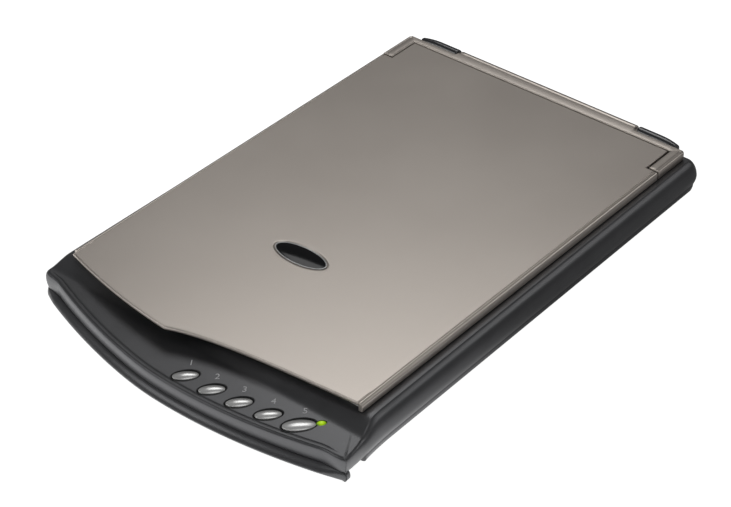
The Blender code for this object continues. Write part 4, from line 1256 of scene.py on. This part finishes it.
    def web(self) -> bpy.types.Mesh:
        """Solid between the plate and the barrel."""
        low, high = self.axis_z - 1.2, self.top - 1.4
        half = self.tab_half - 0.6
        return block((-half, self.strip_rear - 1.0, low), (half, self.axis_y, high))

    def build_bracket(self) -> None:
        """Plate, barrel and the web between them as one piece."""
        mesh = joined("hinge_bracket_body", [self.plate(), self.barrel(), self.web()])
        piece(mesh, self.finishes.paint, "bracket", ("hinge_bracket",), crease=48.0)

    def build_knuckle(self, side: float, word: str) -> None:
        """Dark knuckle: a half-round top on straight cheeks, thinning and dipping towards its outer end.

        Past the straight part the section shrinks with the distance to the power 2.2.

        Args:
            side: -1 for the left knuckle, 1 for the right one.
            word: The side in words, for the names.
        """
        x0, x1 = self.knuckle_x[0], self.knuckle_x[1] - 2.5
        x = np.concatenate((x0 + np.array([0.0, 0.1, 0.35, 0.8]), np.linspace(x0 + 2.0, x1 - 0.6, 26),
                            x1 - np.array([0.3, 0.1, 0.0])))
        shrink = 1.0 - 0.30 * np.clip((x - 92.0) / (x1 - 92.0), 0.0, 1.0) ** 2.2
        end = np.ones_like(x)
        end[:4] = (0.86, 0.93, 0.975, 1.0)
        end[-3:] = (0.95, 0.86, 0.72)
        angle = np.radians(np.linspace(0.0, 180.0, 25))
        r = self.knuckle_radius
        rings = []
        for at, k, e in zip(x, shrink, end):
            y = self.axis_y - r * e + (r * e + r * e * np.cos(angle)) * k
            z = self.axis_z + r * np.sin(angle) * k * e
            y, z = np.append(y, (y[-1], y[0])), np.append(z, (self.knuckle_foot,) * 2)
            rings.append(np.stack((np.full_like(y, side * at), y, z), axis=1))
        mesh = skin(f"knuckle_{word}", np.array(rings), turn_out=True)
        piece(mesh, self.finishes.gloss_charcoal, "housing", (f"hinge_knuckle_{word}",))

    def build(self) -> None:
        """Build the bracket and both knuckles."""
        self.build_bracket()
        self.build_knuckle(-1.0, "left")
        self.build_knuckle(1.0, "right")


# ---------------------------------------------------------------- studio


@dataclass
class Studio:
    """Pale floor, soft lights and the camera."""

    camera_at: tuple[float, float, float] = (0.72610, -0.87785, 0.84897)
    camera_to: tuple[float, float, float] = (0.02597, -0.03473, 0.032)
    lens_mm: float = 108.84
    ambient: float = 0.12

    def aim(self, holder: bpy.types.Object, at: Vector, to: Vector) -> None:
        """Place an object and point its -Z at a target."""
        holder.location = at
        holder.rotation_euler = (Vector(to) - Vector(at)).to_track_quat("-Z", "Y").to_euler()

    def build_floor(self) -> None:
        """Large pale floor just under the feet: plain white to the camera, with a soft glow to other rays."""
        recipe = Recipe("studio_floor", Base_Color=(0.45, 0.45, 0.45), Roughness=0.9, Specular_IOR_Level=0.1,
                        Emission_Color=(1.0, 1.0, 1.0))
        seen = Signal(recipe, recipe.node("ShaderNodeLightPath").outputs["Is Camera Ray"])
        glow = recipe.axis("Y").eased(0.05, -0.28) * 1.2 + 0.05
        recipe.wear(Emission_Strength=seen + (1.0 - seen) * glow)
        size = 12.0
        mesh = bpy.data.meshes.new("studio_floor")
        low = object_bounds()[0][2] - 0.0002
        corners = [(-size, -size, low), (size, -size, low), (size, size, low), (-size, size, low)]
        mesh.from_pydata(corners, [], [(0, 1, 2, 3)])
        mesh.materials.append(recipe.material)
        floor = bpy.data.objects.new("studio_floor", mesh)
        bpy.context.scene.collection.objects.link(floor)
        floor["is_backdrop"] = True

    def soft_box(self, name: str, azimuth: float, height: float, distance: float, size: tuple[float, float],
                 power: float) -> None:
        """Rectangular light at a direction from the object, facing it.

        Args:
            name: Name of the light.
            azimuth: Degrees round from the front (-Y), anticlockwise seen from above.
            height: Degrees above the floor.
            distance: Metres from the object.
            size: Width and height in metres.
            power: Strength in watts.
        """
        light = bpy.data.lights.new(name, "AREA")
        light.shape, light.size, light.size_y, light.energy = "RECTANGLE", size[0], size[1], power
        holder = bpy.data.objects.new(name, light)
        bpy.context.scene.collection.objects.link(holder)
        a, e = math.radians(azimuth), math.radians(height)
        at = Vector((math.sin(a) * math.cos(e), -math.cos(a) * math.cos(e), math.sin(e))) * distance
        self.aim(holder, at, Vector((0.0, 0.0, 0.02)))

    def build(self) -> None:
        """Set up the world, the lights and the camera."""
        scene = bpy.context.scene
        world = bpy.data.worlds.new("studio")
        world.use_nodes = True
        tree = world.node_tree
        path = tree.nodes.new("ShaderNodeLightPath")
        level = tree.nodes.new("ShaderNodeMapRange")
        level.inputs["To Min"].default_value, level.inputs["To Max"].default_value = self.ambient, 1.0
        tree.links.new(path.outputs["Is Camera Ray"], level.inputs["Value"])
        tree.links.new(level.outputs[0], tree.nodes["Background"].inputs["Strength"])
        tree.nodes["Background"].inputs["Color"].default_value = (1.0, 1.0, 1.0, 1.0)
        scene.world = world
        scene.view_settings.view_transform = "Standard"
        self.build_floor()
        self.soft_box("key", -141.0, 54.0, 2.4, (0.9, 0.95), 6.4)
        self.soft_box("front left", -41.0, 38.0, 2.2, (0.9, 0.7), 4.6)
        self.soft_box("overhead", 60.0, 72.0, 2.2, (1.2, 0.9), 3.4)
        self.soft_box("right rear", 136.0, 31.0, 2.2, (0.9, 0.35), 2.4)
        camera = bpy.data.cameras.new("camera")
        camera.lens, camera.sensor_width = self.lens_mm, 36.0
        camera.clip_start, camera.clip_end = 0.01, 50.0
        holder = bpy.data.objects.new("camera", camera)
        scene.collection.objects.link(holder)
        self.aim(holder, Vector(self.camera_at), Vector(self.camera_to))
        scene.camera = holder


# ---------------------------------------------------------------- build


def dress_frame(finishes: Finishes) -> None:
    """Give every frame node that stays in view the finish of its slot."""
    special = {"hinge_pin_left": finishes.pin_steel, "hinge_pin_right": finishes.pin_steel,
               "arm_pin_left": finishes.pin_steel, "arm_pin_right": finishes.pin_steel}
    slots = {part["node"]: part["material_slot"] for part in frame["record"]["subparts"]}
    for name, node in frame["nodes"].items():
        finish = special.get(name) or finishes.for_slot(slots[name])
        node.data.materials.clear()
        node.data.materials.append(finish)
        log.info("%s keeps its shape in %s", name, finish.name)


def main() -> None:
    """Build every part of the scanner and the studio."""
    logging.basicConfig(level=logging.INFO, format="%(name)s: %(message)s")
    light = Controls.light()
    finishes = Finishes(light.centre)
    dress_frame(finishes)
    housing = Housing(finishes)
    for part in (housing, Controls(finishes, housing), Lid(finishes), Hinge(finishes), Studio()):
        part.build()
        log.info("%s is finished", type(part).__name__)


if __name__ == "__main__":
    main()
